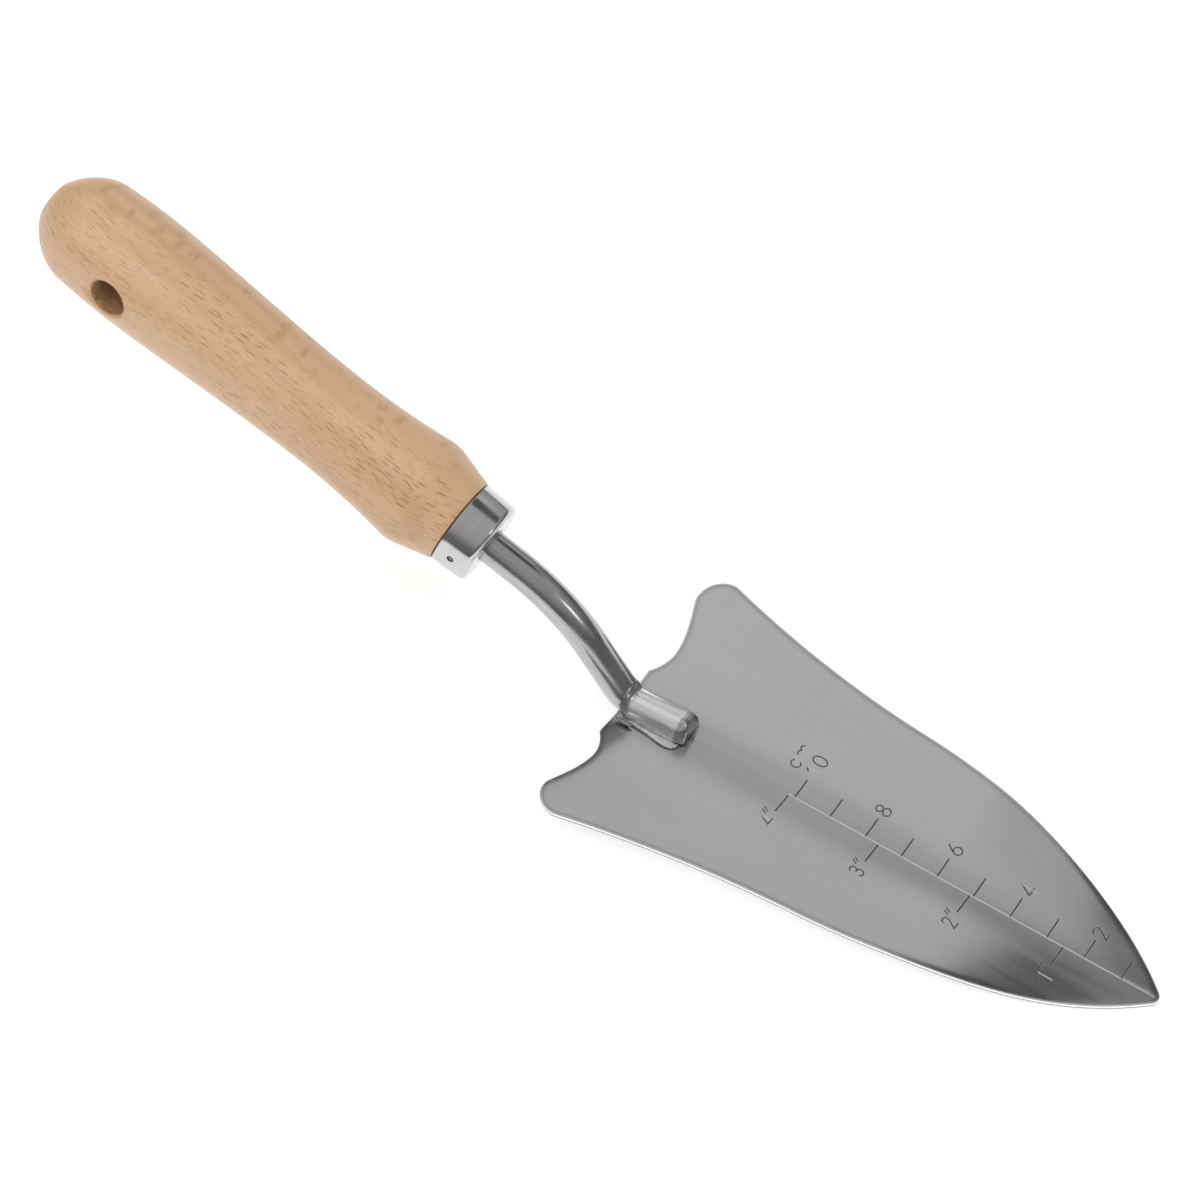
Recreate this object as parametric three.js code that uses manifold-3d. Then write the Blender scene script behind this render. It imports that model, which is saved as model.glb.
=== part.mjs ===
// Hand trowel. A dished stainless blade is welded under the foot of a cranked round neck. The neck's tang
// passes through a drawn ferrule into a turned beech handle and is bonded there.
// Millimetres, +Z up, +X towards the blade's tip. While the pieces are built the tip is at x = 0 and the
// blade's inner face lies at z = 0 on the centre line. The finished group stands on z = 0, and the middle of
// its box is over the origin.
import * as THREE from "three";
import { mergeVertices } from "three/addons/utils/BufferGeometryUtils.js";
import Module from "manifold-3d";

const wasm = await Module();
wasm.setup();

// ---- clearances ----
const GAP = 0.3; // kept between any two pieces that touch

// ---- blade: outline, half of it, measured from the tip and from the centre line ----
const SHEET = 1.5; // thickness of the sheet
const BLADE_LENGTH = 150.2; // tip to the back of the shoulder lobes
const BLADE_HALF = 40.6; // centre line to the side of a lobe
const TAB_HALF = 10.9; // half the straight rear edge that carries the neck
const TAB_SETBACK = 0.6; // how far the rear edge stops short of the lobes
const SCALLOP_DEPTH = 3.8; // hollow between the tab and a lobe
const SCALLOP_HALF = 18.4; // where that hollow is deepest
const LOBE_ROUND = 7.2; // from a lobe's furthest point back to its widest, along and across
const WAIST_FROM_TIP = 82.4; // where the side runs straightest
const WAIST_IN = 10.3; // how much narrower each side is there than at a lobe
const WAIST_SLOPE = 0.067; // how fast the side opens towards the rear at the waist
const WAIST_FULL_REAR = 0.56; // how far that straight run reaches, as a share of the way to a lobe
const WAIST_FULL_FRONT = 0.33; // and as a share of the way to the tip
const POINT_SWEEP_BACK = 21.6; // the side turns in towards the tip over this length
const POINT_SWEEP_OUT = 19.3;
const POINT_BACK = 1.0; // the tip's small round starts here
const POINT_HALF = 1.9;

// ---- blade: dish ----
const DISH_SLOPE = 0.245; // rise of the wings per millimetre out from the valley
const VALLEY_ROUND = 10; // how round the valley is at the rear
const VALLEY_CREASE = 1.2; // and at the tip, where it is almost a fold
const VALLEY_FADE = 90; // the crease has opened out this far from the tip
const DISH_START = 6; // the tip is flat this far back
const DISH_FULL = 62; // and the wings have their whole slope from here

// ---- neck: one round bar with a foot pressed on its end ----
const ROD_R = 4.3;
const NECK_STEEP = 52.4; // degrees, the lower leg above the blade
const NECK_LEG = 29.6; // foot corner to the upper corner
const NECK_REACH = 22.5; // upper corner to the front of the ferrule
const CRANK_R = 45; // centre-line radius of the upper bend
const HEEL_INSIDE = 0.9; // radius left inside the tight bend into the foot
const TANG_DEPTH = 45; // how far the bar goes into the handle past the ferrule's rear edge
const FOOT_LENGTH = 19;
const FOOT_SPREAD = 0.3; // the pressed foot is this much wider than the bar, each side
const FOOT_YAW = 3.7; // degrees, the foot is welded a little askew towards +Y
const FOOT_PRESSED = 2.7; // how far its crown is pressed down from the bar's own top
const FOOT_LIFT = 0.6; // its flat sole clears the dished sheet
const TOE_ROUND = 3.2;
const SOLE_FROM_HEEL = 1.2; // the sole is flat from this far behind the corner

// ---- weld metal squeezed out beside the foot ----
const FLASH_LEFT = 2.5; // widest, at the toe
const FLASH_RIGHT = 1.4;
const FLASH_THICK = 0.9;
const FLASH_LIFT = 0.95; // underside above the valley, clear of the rising sheet
const HEEL_BEAD_R = 1.1;

// ---- ferrule ----
const FERRULE_LENGTH = 9.6;
const FERRULE_REAR_R = 11.15;
const FERRULE_TAPER = 0.3; // smaller at the front by this
const FERRULE_EDGE = 1.5; // round from the side to the flat front
const FERRULE_WALL = 1.2;
const FERRULE_HOLE_PLAY = 0.5; // round the bar

// ---- handle: distances along the axis from the ferrule's rear edge ----
const HANDLE_TILT = 18.8; // degrees above the blade
const HANDLE_LENGTH = 126.4;
const SHOULDER_PROUD = 0.15; // the wood stands this far outside the ferrule's rear edge
const KNUCKLE_AT = 11.4;
const KNUCKLE_RISE = 3.15; // from the shoulder
const KNUCKLE_ROUND = 1.7; // its edge is eased this far each way
const WAISTED_AT = 39.5;
const WAISTED_R = 12.5;
const BELLY_FROM_BUTT = 26.9;
const BELLY_R = 14.68;
const BELLY_EASE = 0.45; // thinner again where the butt's rounding starts
const BUTT_ROUND = 13.4; // length of the rounding at the end
const BUTT_FLAT_R = 5.4;
const GLUE = 0.6; // bond thickness round the tang

// ---- hanging hole and ferrule pin, both turned the same way about the axis ----
const HOLE_R = 4.7;
const HOLE_FROM_BUTT = 27;
const HOLE_BEVEL = 1.8; // countersink at each mouth
const HOLE_TURN = 80; // degrees from the top of the handle towards -Y
const PIN_R = 0.65;
const PIN_STOPS = 0.8; // wood left between the pin and the tang's bore
const PIN_FROM_JOINT = 4.6; // back from the ferrule's rear edge towards the blade
const PIN_SUNK = 0.1;

// ---- sizes that follow from the ones above ----
const LOBE_REAR_HALF = BLADE_HALF - LOBE_ROUND;
const WAIST_HALF = BLADE_HALF - WAIST_IN;
const HEEL_R = ROD_R + HEEL_INSIDE;
const FOOT_HALF = ROD_R + FOOT_SPREAD;
const FOOT_HEIGHT = 2 * ROD_R - FOOT_PRESSED;
const FERRULE_FRONT_R = FERRULE_REAR_R - FERRULE_TAPER;
const SHOULDER_R = FERRULE_REAR_R + SHOULDER_PROUD;
const BELLY_AT = HANDLE_LENGTH - BELLY_FROM_BUTT;
const KNUCKLE_R = SHOULDER_R + KNUCKLE_RISE;

const rad = THREE.MathUtils.degToRad;
const smooth = THREE.MathUtils.smoothstep;

// ---- solids ----

// Turns a closed three.js geometry into a manifold-3d solid, with its faces outwards.
function solid(geometry) {
  const bare = geometry.clone();
  bare.deleteAttribute("normal");
  bare.deleteAttribute("uv");
  const merged = mergeVertices(bare, 1e-4);
  const index = new Uint32Array(merged.index.array);
  const make = () =>
    new wasm.Manifold(
      new wasm.Mesh({ numProp: 3, vertProperties: merged.attributes.position.array, triVerts: index }),
    );
  const first = make();
  if (first.volume() > 0) return first;
  for (let i = 0; i < index.length; i += 3) {
    [index[i + 1], index[i + 2]] = [index[i + 2], index[i + 1]];
  }
  return make();
}

// Turns a solid back into a geometry with flat-shaded faces.
function geometryOf(made) {
  const mesh = made.getMesh();
  const points = new Float32Array(mesh.vertProperties.length);
  points.set(mesh.vertProperties);
  const geometry = new THREE.BufferGeometry();
  geometry.setAttribute("position", new THREE.BufferAttribute(points, mesh.numProp));
  geometry.setIndex(new THREE.BufferAttribute(new Uint32Array(mesh.triVerts), 1));
  const flat = geometry.toNonIndexed();
  flat.computeVertexNormals();
  return flat;
}

function piece(name, made, material) {
  const mesh = new THREE.Mesh(geometryOf(made), material);
  mesh.name = name;
  return mesh;
}

// Turns the upright axis that three.js gives its cylinders to another direction.
function turnTo(direction) {
  return new THREE.Quaternion().setFromUnitVectors(new THREE.Vector3(0, 1, 0), direction);
}

// A round bar from one point to another.
function bar(radius, from, to, sides) {
  const along = new THREE.Vector3().subVectors(to, from);
  const geometry = new THREE.CylinderGeometry(radius, radius, along.length(), sides);
  geometry.applyQuaternion(turnTo(along.clone().normalize()));
  geometry.translate(from.x + along.x / 2, from.y + along.y / 2, from.z + along.z / 2);
  return solid(geometry);
}

// ---- materials ----
const finish = (name, color, roughness, metalness) =>
  new THREE.MeshStandardMaterial({ name, color, roughness, metalness });
const steel = (name, color, roughness) => finish(name, color, roughness, 1);
const brushedSheet = steel("brushed_sheet", 0xb4b4b2, 0.38);
const polishedBar = steel("polished_bar", 0xc4c4c4, 0.12);
const weldMetal = steel("weld_metal", 0xb8b8b8, 0.3);
const polishedFerrule = steel("polished_ferrule", 0xc8c9ca, 0.1);
const pinSteel = steel("pin_steel", 0x6d6a66, 0.45);
const beech = finish("beech", 0xc08a5a, 0.45, 0);
const epoxy = finish("epoxy", 0x8d7a52, 0.5, 0);

// ---- blade ----

// Height of the blade's inner face above the valley line.
function dish(x, y) {
  const back = -x;
  const slope = DISH_SLOPE * smooth(back, DISH_START, DISH_FULL);
  const round = VALLEY_CREASE + (VALLEY_ROUND - VALLEY_CREASE) * smooth(back, 0, VALLEY_FADE);
  return slope * (Math.hypot(y, round) - round);
}

// One half of the outline from the middle of the rear edge to the tip, as curves; side is 1 or -1.
function halfOutline(side) {
  const at = (x, y) => new THREE.Vector2(x, y * side);
  const lobeBack = -BLADE_LENGTH;
  const tab = lobeBack + TAB_SETBACK;
  const hollow = lobeBack + SCALLOP_DEPTH;
  const widest = lobeBack + LOBE_ROUND;
  const corner = at(tab, TAB_HALF);
  const scallop = at(hollow, SCALLOP_HALF);
  const lobe = at(lobeBack, LOBE_REAR_HALF);
  const flank = at(widest, BLADE_HALF);
  const waist = at(-WAIST_FROM_TIP, WAIST_HALF);
  const point = at(-POINT_BACK, POINT_HALF);
  const reachBack = WAIST_FULL_REAR * (-widest - WAIST_FROM_TIP);
  const reachOn = WAIST_FULL_FRONT * WAIST_FROM_TIP;
  const hollowIn = 0.45 * (SCALLOP_HALF - TAB_HALF);
  const hollowOut = 0.44 * (LOBE_REAR_HALF - SCALLOP_HALF);
  const lobeTurn = 0.55 * LOBE_ROUND;
  const curve = (from, leave, arrive, to) => new THREE.CubicBezierCurve(from, leave, arrive, to);
  return [
    new THREE.LineCurve(at(tab, 0), corner),
    curve(corner, at(tab + 1.3, TAB_HALF + 1.5), at(hollow, SCALLOP_HALF - hollowIn), scallop),
    curve(scallop, at(hollow, SCALLOP_HALF + hollowOut), at(lobeBack, LOBE_REAR_HALF - 2), lobe),
    curve(lobe, at(lobeBack, LOBE_REAR_HALF + lobeTurn), at(widest - lobeTurn, BLADE_HALF), flank),
    curve(
      flank,
      at(widest + 0.9, BLADE_HALF),
      at(-WAIST_FROM_TIP - reachBack, WAIST_HALF + WAIST_SLOPE * reachBack),
      waist,
    ),
    curve(
      waist,
      at(-WAIST_FROM_TIP + reachOn, WAIST_HALF - WAIST_SLOPE * reachOn),
      at(-POINT_BACK - POINT_SWEEP_BACK, POINT_HALF + POINT_SWEEP_OUT),
      point,
    ),
    curve(point, at(-0.3, 1.3), at(0, 0.8), at(0, 0)),
  ];
}

function bladeOutline() {
  const steps = [1, 5, 7, 8, 16, 14, 3];
  const half = (side) => halfOutline(side).flatMap((curve, i) => curve.getPoints(steps[i]).slice(0, -1));
  const tip = new THREE.Vector2(0, 0);
  const there = half(1);
  const back = half(-1).slice(1).reverse();
  return new THREE.Shape([...there, tip, ...back]);
}

function makeBlade() {
  const columns = 20;
  const rows = 22;
  const margin = 3;
  const long = BLADE_LENGTH + 2 * margin;
  const slab = new THREE.BoxGeometry(2, 2, 2, columns, rows, 1);
  const place = slab.attributes.position;
  for (let i = 0; i < place.count; i++) {
    const x = margin - long * (0.5 - 0.5 * place.getX(i));
    const across = place.getY(i);
    const y = Math.sign(across) * Math.abs(across) ** 1.5 * (BLADE_HALF + margin);
    const step = 0.05;
    const tiltX = (dish(x + step, y) - dish(x - step, y)) / (2 * step);
    const tiltY = (dish(x, y + step) - dish(x, y - step)) / (2 * step);
    const under = place.getZ(i) > 0 ? 0 : SHEET * Math.hypot(1, tiltX, tiltY);
    place.setXYZ(i, x, y, dish(x, y) - under);
  }
  const tall = 60;
  const cutter = new THREE.ExtrudeGeometry(bladeOutline(), { depth: tall, bevelEnabled: false });
  cutter.translate(0, 0, -tall / 2);
  return solid(slab).intersect(solid(cutter));
}

// ---- neck ----

// The bar's corners, from the blade up to the handle.
const steep = rad(NECK_STEEP);
const tilt = rad(HANDLE_TILT);
const heel = new THREE.Vector3(-BLADE_LENGTH + TAB_SETBACK + 0.2, 0, ROD_R);
const legAxis = new THREE.Vector3(-Math.cos(steep), 0, Math.sin(steep));
const crank = heel.clone().addScaledVector(legAxis, NECK_LEG);
const upAxis = new THREE.Vector3(-Math.cos(tilt), 0, Math.sin(tilt));
const ferruleFront = crank.clone().addScaledVector(upAxis, NECK_REACH);
const joint = ferruleFront.clone().addScaledVector(upAxis, FERRULE_LENGTH);
const tangEnd = joint.clone().addScaledVector(upAxis, TANG_DEPTH);
const footEnd = heel.x + FOOT_LENGTH;

// An arc that rounds the corner between two straight runs, with the points where it meets them.
function roundedCorner(before, corner, after, radius) {
  const back = new THREE.Vector3().subVectors(before, corner).normalize();
  const on = new THREE.Vector3().subVectors(after, corner).normalize();
  const half = back.angleTo(on) / 2;
  const start = corner.clone().addScaledVector(back, radius / Math.tan(half));
  const end = corner.clone().addScaledVector(on, radius / Math.tan(half));
  const middle = new THREE.Vector3().addVectors(back, on).normalize();
  const centre = corner.clone().addScaledVector(middle, radius / Math.sin(half));
  const sweep = Math.PI - 2 * half;
  const from = new THREE.Vector3().subVectors(start, centre);
  const to = new THREE.Vector3().subVectors(end, centre);
  const axis = new THREE.Vector3().crossVectors(from, to).normalize();
  const curve = new THREE.Curve();
  curve.getPoint = (t, target = new THREE.Vector3()) =>
    target.copy(from).applyAxisAngle(axis, sweep * t).add(centre);
  return { start, curve, end };
}

function neckPath() {
  const forward = new THREE.Vector3(heel.x + 8, 0, heel.z);
  const upper = roundedCorner(tangEnd, crank, heel, CRANK_R);
  const lower = roundedCorner(crank, heel, forward, HEEL_R);
  const path = new THREE.CurvePath();
  path.add(new THREE.LineCurve3(tangEnd, upper.start));
  path.add(upper.curve);
  path.add(new THREE.LineCurve3(upper.end, lower.start));
  path.add(lower.curve);
  return path;
}

// The pressed foot: a low crown on a flat sole, with a rounded toe.
function makeFoot() {
  const crown = new THREE.Shape();
  crown.moveTo(-FOOT_HALF, FOOT_LIFT);
  crown.lineTo(FOOT_HALF, FOOT_LIFT);
  crown.lineTo(FOOT_HALF, FOOT_LIFT + 0.7);
  const spring = FOOT_LIFT + 0.7;
  const arch = new THREE.EllipseCurve(0, spring, FOOT_HALF, FOOT_HEIGHT - spring, 0, Math.PI);
  arch.getPoints(14).slice(1).forEach((p) => crown.lineTo(p.x, p.y));
  const start = heel.x - 0.4;
  const ridge = new THREE.ExtrudeGeometry(crown, { depth: footEnd - start, bevelEnabled: false });
  ridge.applyMatrix4(
    new THREE.Matrix4().makeBasis(
      new THREE.Vector3(0, 1, 0),
      new THREE.Vector3(0, 0, 1),
      new THREE.Vector3(1, 0, 0),
    ),
  );
  ridge.translate(start, 0, 0);
  const plan = new THREE.Shape();
  plan.moveTo(start - 1, -ROD_R);
  plan.lineTo(start + 6, -FOOT_HALF - 0.1);
  plan.lineTo(footEnd - TOE_ROUND, -FOOT_HALF - 0.1);
  plan.absarc(footEnd - TOE_ROUND, -FOOT_HALF + TOE_ROUND, TOE_ROUND, -Math.PI / 2, 0);
  plan.absarc(footEnd - TOE_ROUND, FOOT_HALF - TOE_ROUND, TOE_ROUND, 0, Math.PI / 2);
  plan.lineTo(start + 6, FOOT_HALF + 0.1);
  plan.lineTo(start - 1, ROD_R);
  const trim = new THREE.ExtrudeGeometry(plan, { depth: 20, bevelEnabled: false, curveSegments: 5 });
  trim.translate(0, 0, -5);
  return askew(solid(ridge).intersect(solid(trim)));
}

// Turns a solid about the upright line through the heel, as the foot is.
function askew(made) {
  const geometry = geometryOf(made);
  geometry.translate(-heel.x, 0, 0);
  geometry.rotateZ(rad(FOOT_YAW));
  geometry.translate(heel.x, 0, 0);
  return solid(geometry);
}

function makeNeck() {
  const section = new THREE.Shape().absarc(0, 0, ROD_R, 0, 2 * Math.PI);
  const sweep = new THREE.ExtrudeGeometry(section, {
    extrudePath: neckPath(),
    steps: 56,
    curveSegments: 8,
    bevelEnabled: false,
  });
  const below = new THREE.BoxGeometry(60, 40, 20);
  below.translate(heel.x + 30 - SOLE_FROM_HEEL, 0, FOOT_LIFT - 10);
  return solid(sweep).add(makeFoot()).subtract(solid(below));
}

// ---- weld metal ----

// A thin lip along one side of the foot; it widens towards the toe.
function makeFlash(side, wide) {
  const inner = FOOT_HALF + 0.1 + GAP;
  const start = heel.x + 6;
  const end = footEnd - TOE_ROUND * 0.5;
  const lip = new THREE.Shape();
  lip.moveTo(start, inner * side);
  lip.lineTo(start, (inner + wide * 0.35) * side);
  lip.quadraticCurveTo((start + end) / 2, (inner + wide * 0.75) * side, end - 1.8, (inner + wide) * side);
  lip.quadraticCurveTo(end, (inner + wide) * side, end, (inner + wide * 0.4) * side);
  lip.lineTo(end - 0.4, inner * side);
  const geometry = new THREE.ExtrudeGeometry(lip, {
    depth: FLASH_THICK,
    bevelEnabled: false,
    curveSegments: 5,
  });
  geometry.translate(0, 0, FLASH_LIFT);
  return askew(solid(geometry));
}

// The puckered lump where the bar's heel meets the rear edge, on one side only.
function makeHeelBead() {
  const bead = new THREE.SphereGeometry(1, 12, 8);
  bead.scale(HEEL_BEAD_R * 2, HEEL_BEAD_R * 0.75, HEEL_BEAD_R * 0.7);
  const beside = FOOT_HALF + 0.1 + GAP + HEEL_BEAD_R * 0.75;
  bead.translate(heel.x + 3, -beside, FLASH_LIFT + HEEL_BEAD_R * 0.7);
  return askew(solid(bead));
}

// ---- turned pieces, built with the handle's axis along local Y and 0 at the ferrule's rear edge ----

// A closed ring or cup turned from its half section.
function turned(section, sides) {
  return solid(new THREE.LatheGeometry([...section, section[0].clone()], sides));
}

const v2 = (r, s) => new THREE.Vector2(r, s);
const outDir = new THREE.Vector3(Math.cos(rad(HOLE_TURN)), 0, Math.sin(rad(HOLE_TURN)));
const atSide = (s, r) => new THREE.Vector3(0, s, 0).addScaledVector(outDir, r);
const ferruleInner = FERRULE_FRONT_R - FERRULE_WALL;
const tenonR = ferruleInner - GAP;
const tenonLength = FERRULE_LENGTH - FERRULE_WALL - GAP;
const boreR = ROD_R + 2 * GAP + GLUE;
const boreDepth = TANG_DEPTH + 2 * GAP + GLUE;
const pinTop = FERRULE_REAR_R - 0.2 - PIN_SUNK;
const outside = FERRULE_REAR_R + 4;
const pinFoot = boreR + PIN_STOPS;

function makeFerrule() {
  const front = -FERRULE_LENGTH;
  const bend = [];
  for (let i = 0; i <= 5; i++) {
    const a = (Math.PI / 2) * (i / 5);
    const inward = FERRULE_EDGE * (1 - Math.sin(a));
    const back = FERRULE_EDGE * (1 - Math.cos(a));
    bend.push(v2(FERRULE_FRONT_R - inward, front + back));
  }
  const section = [
    v2(ROD_R + FERRULE_HOLE_PLAY, front),
    ...bend,
    v2(FERRULE_FRONT_R + 0.04, -FERRULE_LENGTH * 0.55),
    v2(FERRULE_REAR_R, -GAP),
    v2(ferruleInner, -GAP),
    v2(ferruleInner, front + FERRULE_WALL),
    v2(ROD_R + FERRULE_HOLE_PLAY, front + FERRULE_WALL),
  ];
  const hole = bar(PIN_R + GAP, atSide(-PIN_FROM_JOINT, tenonR - 1), atSide(-PIN_FROM_JOINT, outside), 12);
  return turned(section, 28).subtract(hole);
}

// Radius of the handle at a distance from the ferrule's rear edge.
function handleRadius(s) {
  const blend = (a, b, t) => a + (b - a) * t;
  if (s < KNUCKLE_AT) return blend(SHOULDER_R, KNUCKLE_R, s / KNUCKLE_AT);
  if (s < WAISTED_AT) {
    const t = (s - KNUCKLE_AT) / (WAISTED_AT - KNUCKLE_AT);
    return blend(KNUCKLE_R, WAISTED_R, 1 - (1 - t) ** 2);
  }
  if (s < BELLY_AT) {
    const t = (s - WAISTED_AT) / (BELLY_AT - WAISTED_AT);
    const swell = 0.5 * t + 0.5 * smooth(t, 0, 1) - 0.12 * Math.sin(Math.PI * t) * (1 - t);
    return blend(WAISTED_R, BELLY_R, swell);
  }
  const roundFrom = HANDLE_LENGTH - BUTT_ROUND;
  const shoulder = BELLY_R - BELLY_EASE;
  if (s < roundFrom) {
    const t = (s - BELLY_AT) / (roundFrom - BELLY_AT);
    return blend(BELLY_R, shoulder, t * t);
  }
  const t = Math.min(1, (s - roundFrom) / BUTT_ROUND);
  return blend(BUTT_FLAT_R, shoulder, (1 - t * t) ** 0.85);
}

function makeHandle() {
  const side = [];
  const straight = HANDLE_LENGTH - BUTT_ROUND;
  side.push(v2(SHOULDER_R, 0));
  for (let i = -2; i <= 2; i++) {
    const from = (i / 2) * KNUCKLE_ROUND;
    const shaved = 0.3 * (1 - Math.abs(i) / 2) ** 2;
    side.push(v2(handleRadius(KNUCKLE_AT + from) - shaved, KNUCKLE_AT + from));
  }
  const runs = 22;
  const runFrom = KNUCKLE_AT + KNUCKLE_ROUND;
  for (let i = 1; i <= runs; i++) {
    const s = runFrom + ((straight - runFrom) * i) / runs;
    side.push(v2(handleRadius(s), s));
  }
  const steps = 8;
  for (let i = 1; i <= steps; i++) {
    const s = straight + BUTT_ROUND * Math.sin((Math.PI / 2) * (i / steps));
    side.push(v2(handleRadius(s), s));
  }
  const section = [
    v2(0, -tenonLength),
    v2(tenonR, -tenonLength),
    v2(tenonR, 0),
    ...side,
    v2(0, HANDLE_LENGTH),
  ];
  const body = solid(new THREE.LatheGeometry(section, 28));
  const bore = bar(boreR, new THREE.Vector3(0, -20, 0), new THREE.Vector3(0, boreDepth, 0), 24);
  const holeAt = HANDLE_LENGTH - HOLE_FROM_BUTT;
  const past = BELLY_R + 10;
  const hole = bar(HOLE_R, atSide(holeAt, -past), atSide(holeAt, past), 24);
  const pinFrom = atSide(-PIN_FROM_JOINT, pinFoot - GAP);
  const pinHole = bar(PIN_R + GAP, pinFrom, atSide(-PIN_FROM_JOINT, outside), 12);
  return [1, -1].reduce(
    (made, way) => made.subtract(countersink(holeAt, way)),
    body.subtract(bore).subtract(hole).subtract(pinHole),
  );
}

// A cone that bevels one mouth of the hanging hole.
function countersink(holeAt, way) {
  const mouth = handleRadius(holeAt);
  const deep = HOLE_BEVEL + 3;
  const cone = new THREE.CylinderGeometry(HOLE_R + deep, HOLE_R, deep, 24);
  cone.applyQuaternion(turnTo(outDir.clone().multiplyScalar(way)));
  const middle = atSide(holeAt, way * (mouth - HOLE_BEVEL + deep / 2));
  cone.translate(middle.x, middle.y, middle.z);
  return solid(cone);
}

function makeBond() {
  const outer = boreR - GAP;
  const inner = ROD_R + GAP;
  const section = [
    v2(0, TANG_DEPTH + GAP),
    v2(inner, TANG_DEPTH + GAP),
    v2(inner, -tenonLength + 0.5),
    v2(outer, -tenonLength + 0.5),
    v2(outer, boreDepth - GAP),
    v2(0, boreDepth - GAP),
  ];
  return solid(new THREE.LatheGeometry(section, 20));
}

function makePin() {
  return bar(PIN_R, atSide(-PIN_FROM_JOINT, pinFoot), atSide(-PIN_FROM_JOINT, pinTop), 12);
}

// ---- assembly ----
const blade = new THREE.Group();
blade.add(
  piece("blade", makeBlade(), brushedSheet),
  piece("neck_rod", makeNeck(), polishedBar),
  piece("weld_flash_left", makeFlash(-1, FLASH_LEFT), weldMetal),
  piece("weld_flash_right", makeFlash(1, FLASH_RIGHT), weldMetal),
  piece("weld_heel_bead", makeHeelBead(), weldMetal),
);

const grip = new THREE.Group();
grip.add(
  piece("ferrule", makeFerrule(), polishedFerrule),
  piece("ferrule_pin", makePin(), pinSteel),
  piece("handle", makeHandle(), beech),
  piece("tang_bond", makeBond(), epoxy),
);
const top = new THREE.Vector3(Math.sin(tilt), 0, Math.cos(tilt));
grip.setRotationFromMatrix(new THREE.Matrix4().makeBasis(top, upAxis, new THREE.Vector3(0, -1, 0)));
grip.position.copy(joint);

const trowel = new THREE.Group();
trowel.name = "hand_trowel";
trowel.add(blade, grip);
trowel.updateMatrixWorld(true);
const box = new THREE.Box3().setFromObject(trowel, true);
const middle = box.getCenter(new THREE.Vector3());
trowel.position.set(-middle.x, -middle.y, -box.min.z);

export default trowel;
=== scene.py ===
"""Hand trowel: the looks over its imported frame.

Each sub-assembly of the tool is a class that turns its sizes into meshes and dresses them. Shapes are worked
out in blade millimetres: the tip is at x = 0, the handle lies towards -X, +Y is the far side and z = 0 is the
inner face on the centre line. Bench carries them to the row frame in metres.
"""

import logging
import math
from collections.abc import Sequence
from dataclasses import dataclass, field
from enum import Enum

import bmesh
import bpy
import numpy as np
from mathutils import Matrix, Vector
from mathutils.geometry import delaunay_2d_cdt


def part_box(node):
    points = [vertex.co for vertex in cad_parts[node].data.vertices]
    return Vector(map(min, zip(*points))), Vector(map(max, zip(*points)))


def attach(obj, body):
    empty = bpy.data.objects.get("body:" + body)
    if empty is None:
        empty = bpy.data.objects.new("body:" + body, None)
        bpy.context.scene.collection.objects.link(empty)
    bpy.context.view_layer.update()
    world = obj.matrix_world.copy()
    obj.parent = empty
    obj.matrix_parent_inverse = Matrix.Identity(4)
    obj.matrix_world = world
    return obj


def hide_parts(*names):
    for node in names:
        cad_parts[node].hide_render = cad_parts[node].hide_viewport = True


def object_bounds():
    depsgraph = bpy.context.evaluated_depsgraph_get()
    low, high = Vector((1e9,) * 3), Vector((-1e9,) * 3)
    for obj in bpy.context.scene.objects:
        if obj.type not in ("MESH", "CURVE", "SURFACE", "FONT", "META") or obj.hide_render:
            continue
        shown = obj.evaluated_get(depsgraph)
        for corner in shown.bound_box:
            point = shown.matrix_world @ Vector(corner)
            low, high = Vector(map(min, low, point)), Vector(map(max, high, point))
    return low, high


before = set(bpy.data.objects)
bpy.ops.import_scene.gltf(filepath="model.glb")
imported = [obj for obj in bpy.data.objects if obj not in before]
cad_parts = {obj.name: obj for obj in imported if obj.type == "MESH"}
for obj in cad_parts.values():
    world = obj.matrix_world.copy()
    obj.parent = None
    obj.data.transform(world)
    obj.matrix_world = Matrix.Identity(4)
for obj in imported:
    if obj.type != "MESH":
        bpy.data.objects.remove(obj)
CAD_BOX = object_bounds()

log = logging.getLogger("hand_trowel")

MM = 0.001
SHEET = 1.5

Points = np.ndarray
Triple = tuple[float, float, float]
NOISE_SPAN = (0.3, 0.7)
ON_LINE = 1e-3
SIDES = 96


# ---------------------------------------------------------------- small helpers


def smooth(t: np.ndarray | float, low: float = 0.0, high: float = 1.0) -> np.ndarray:
    """Eases from 0 at low to 1 at high."""
    u = np.clip((np.asarray(t, float) - low) / (high - low), 0, 1)
    return u * u * (3 - 2 * u)


def mix(a: float, b: float, t: float) -> float:
    """Goes from a to b as t goes from 0 to 1."""
    return a + (b - a) * t


def unit(v: Sequence[float]) -> np.ndarray:
    """The direction of v."""
    v = np.asarray(v, float)
    return v / np.linalg.norm(v)


def wobble(p: Points, scale: float, seed: int) -> np.ndarray:
    """A smooth bumpy value at each point, the same on every run.

    Args:
        p: points, one a row, in millimetres.
        scale: millimetres from one bump to the next.
        seed: which set of bumps.

    Returns:
        One number a point, about -1 to 1.
    """
    rng = np.random.default_rng(seed)
    total = np.zeros(len(p))
    for _ in range(9):
        way = unit(rng.normal(size=p.shape[1]))
        total += np.sin(p @ way * 2 * math.pi / scale * rng.uniform(0.7, 1.5) + rng.uniform(0, 6.28))
    return total / 3.2


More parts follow.
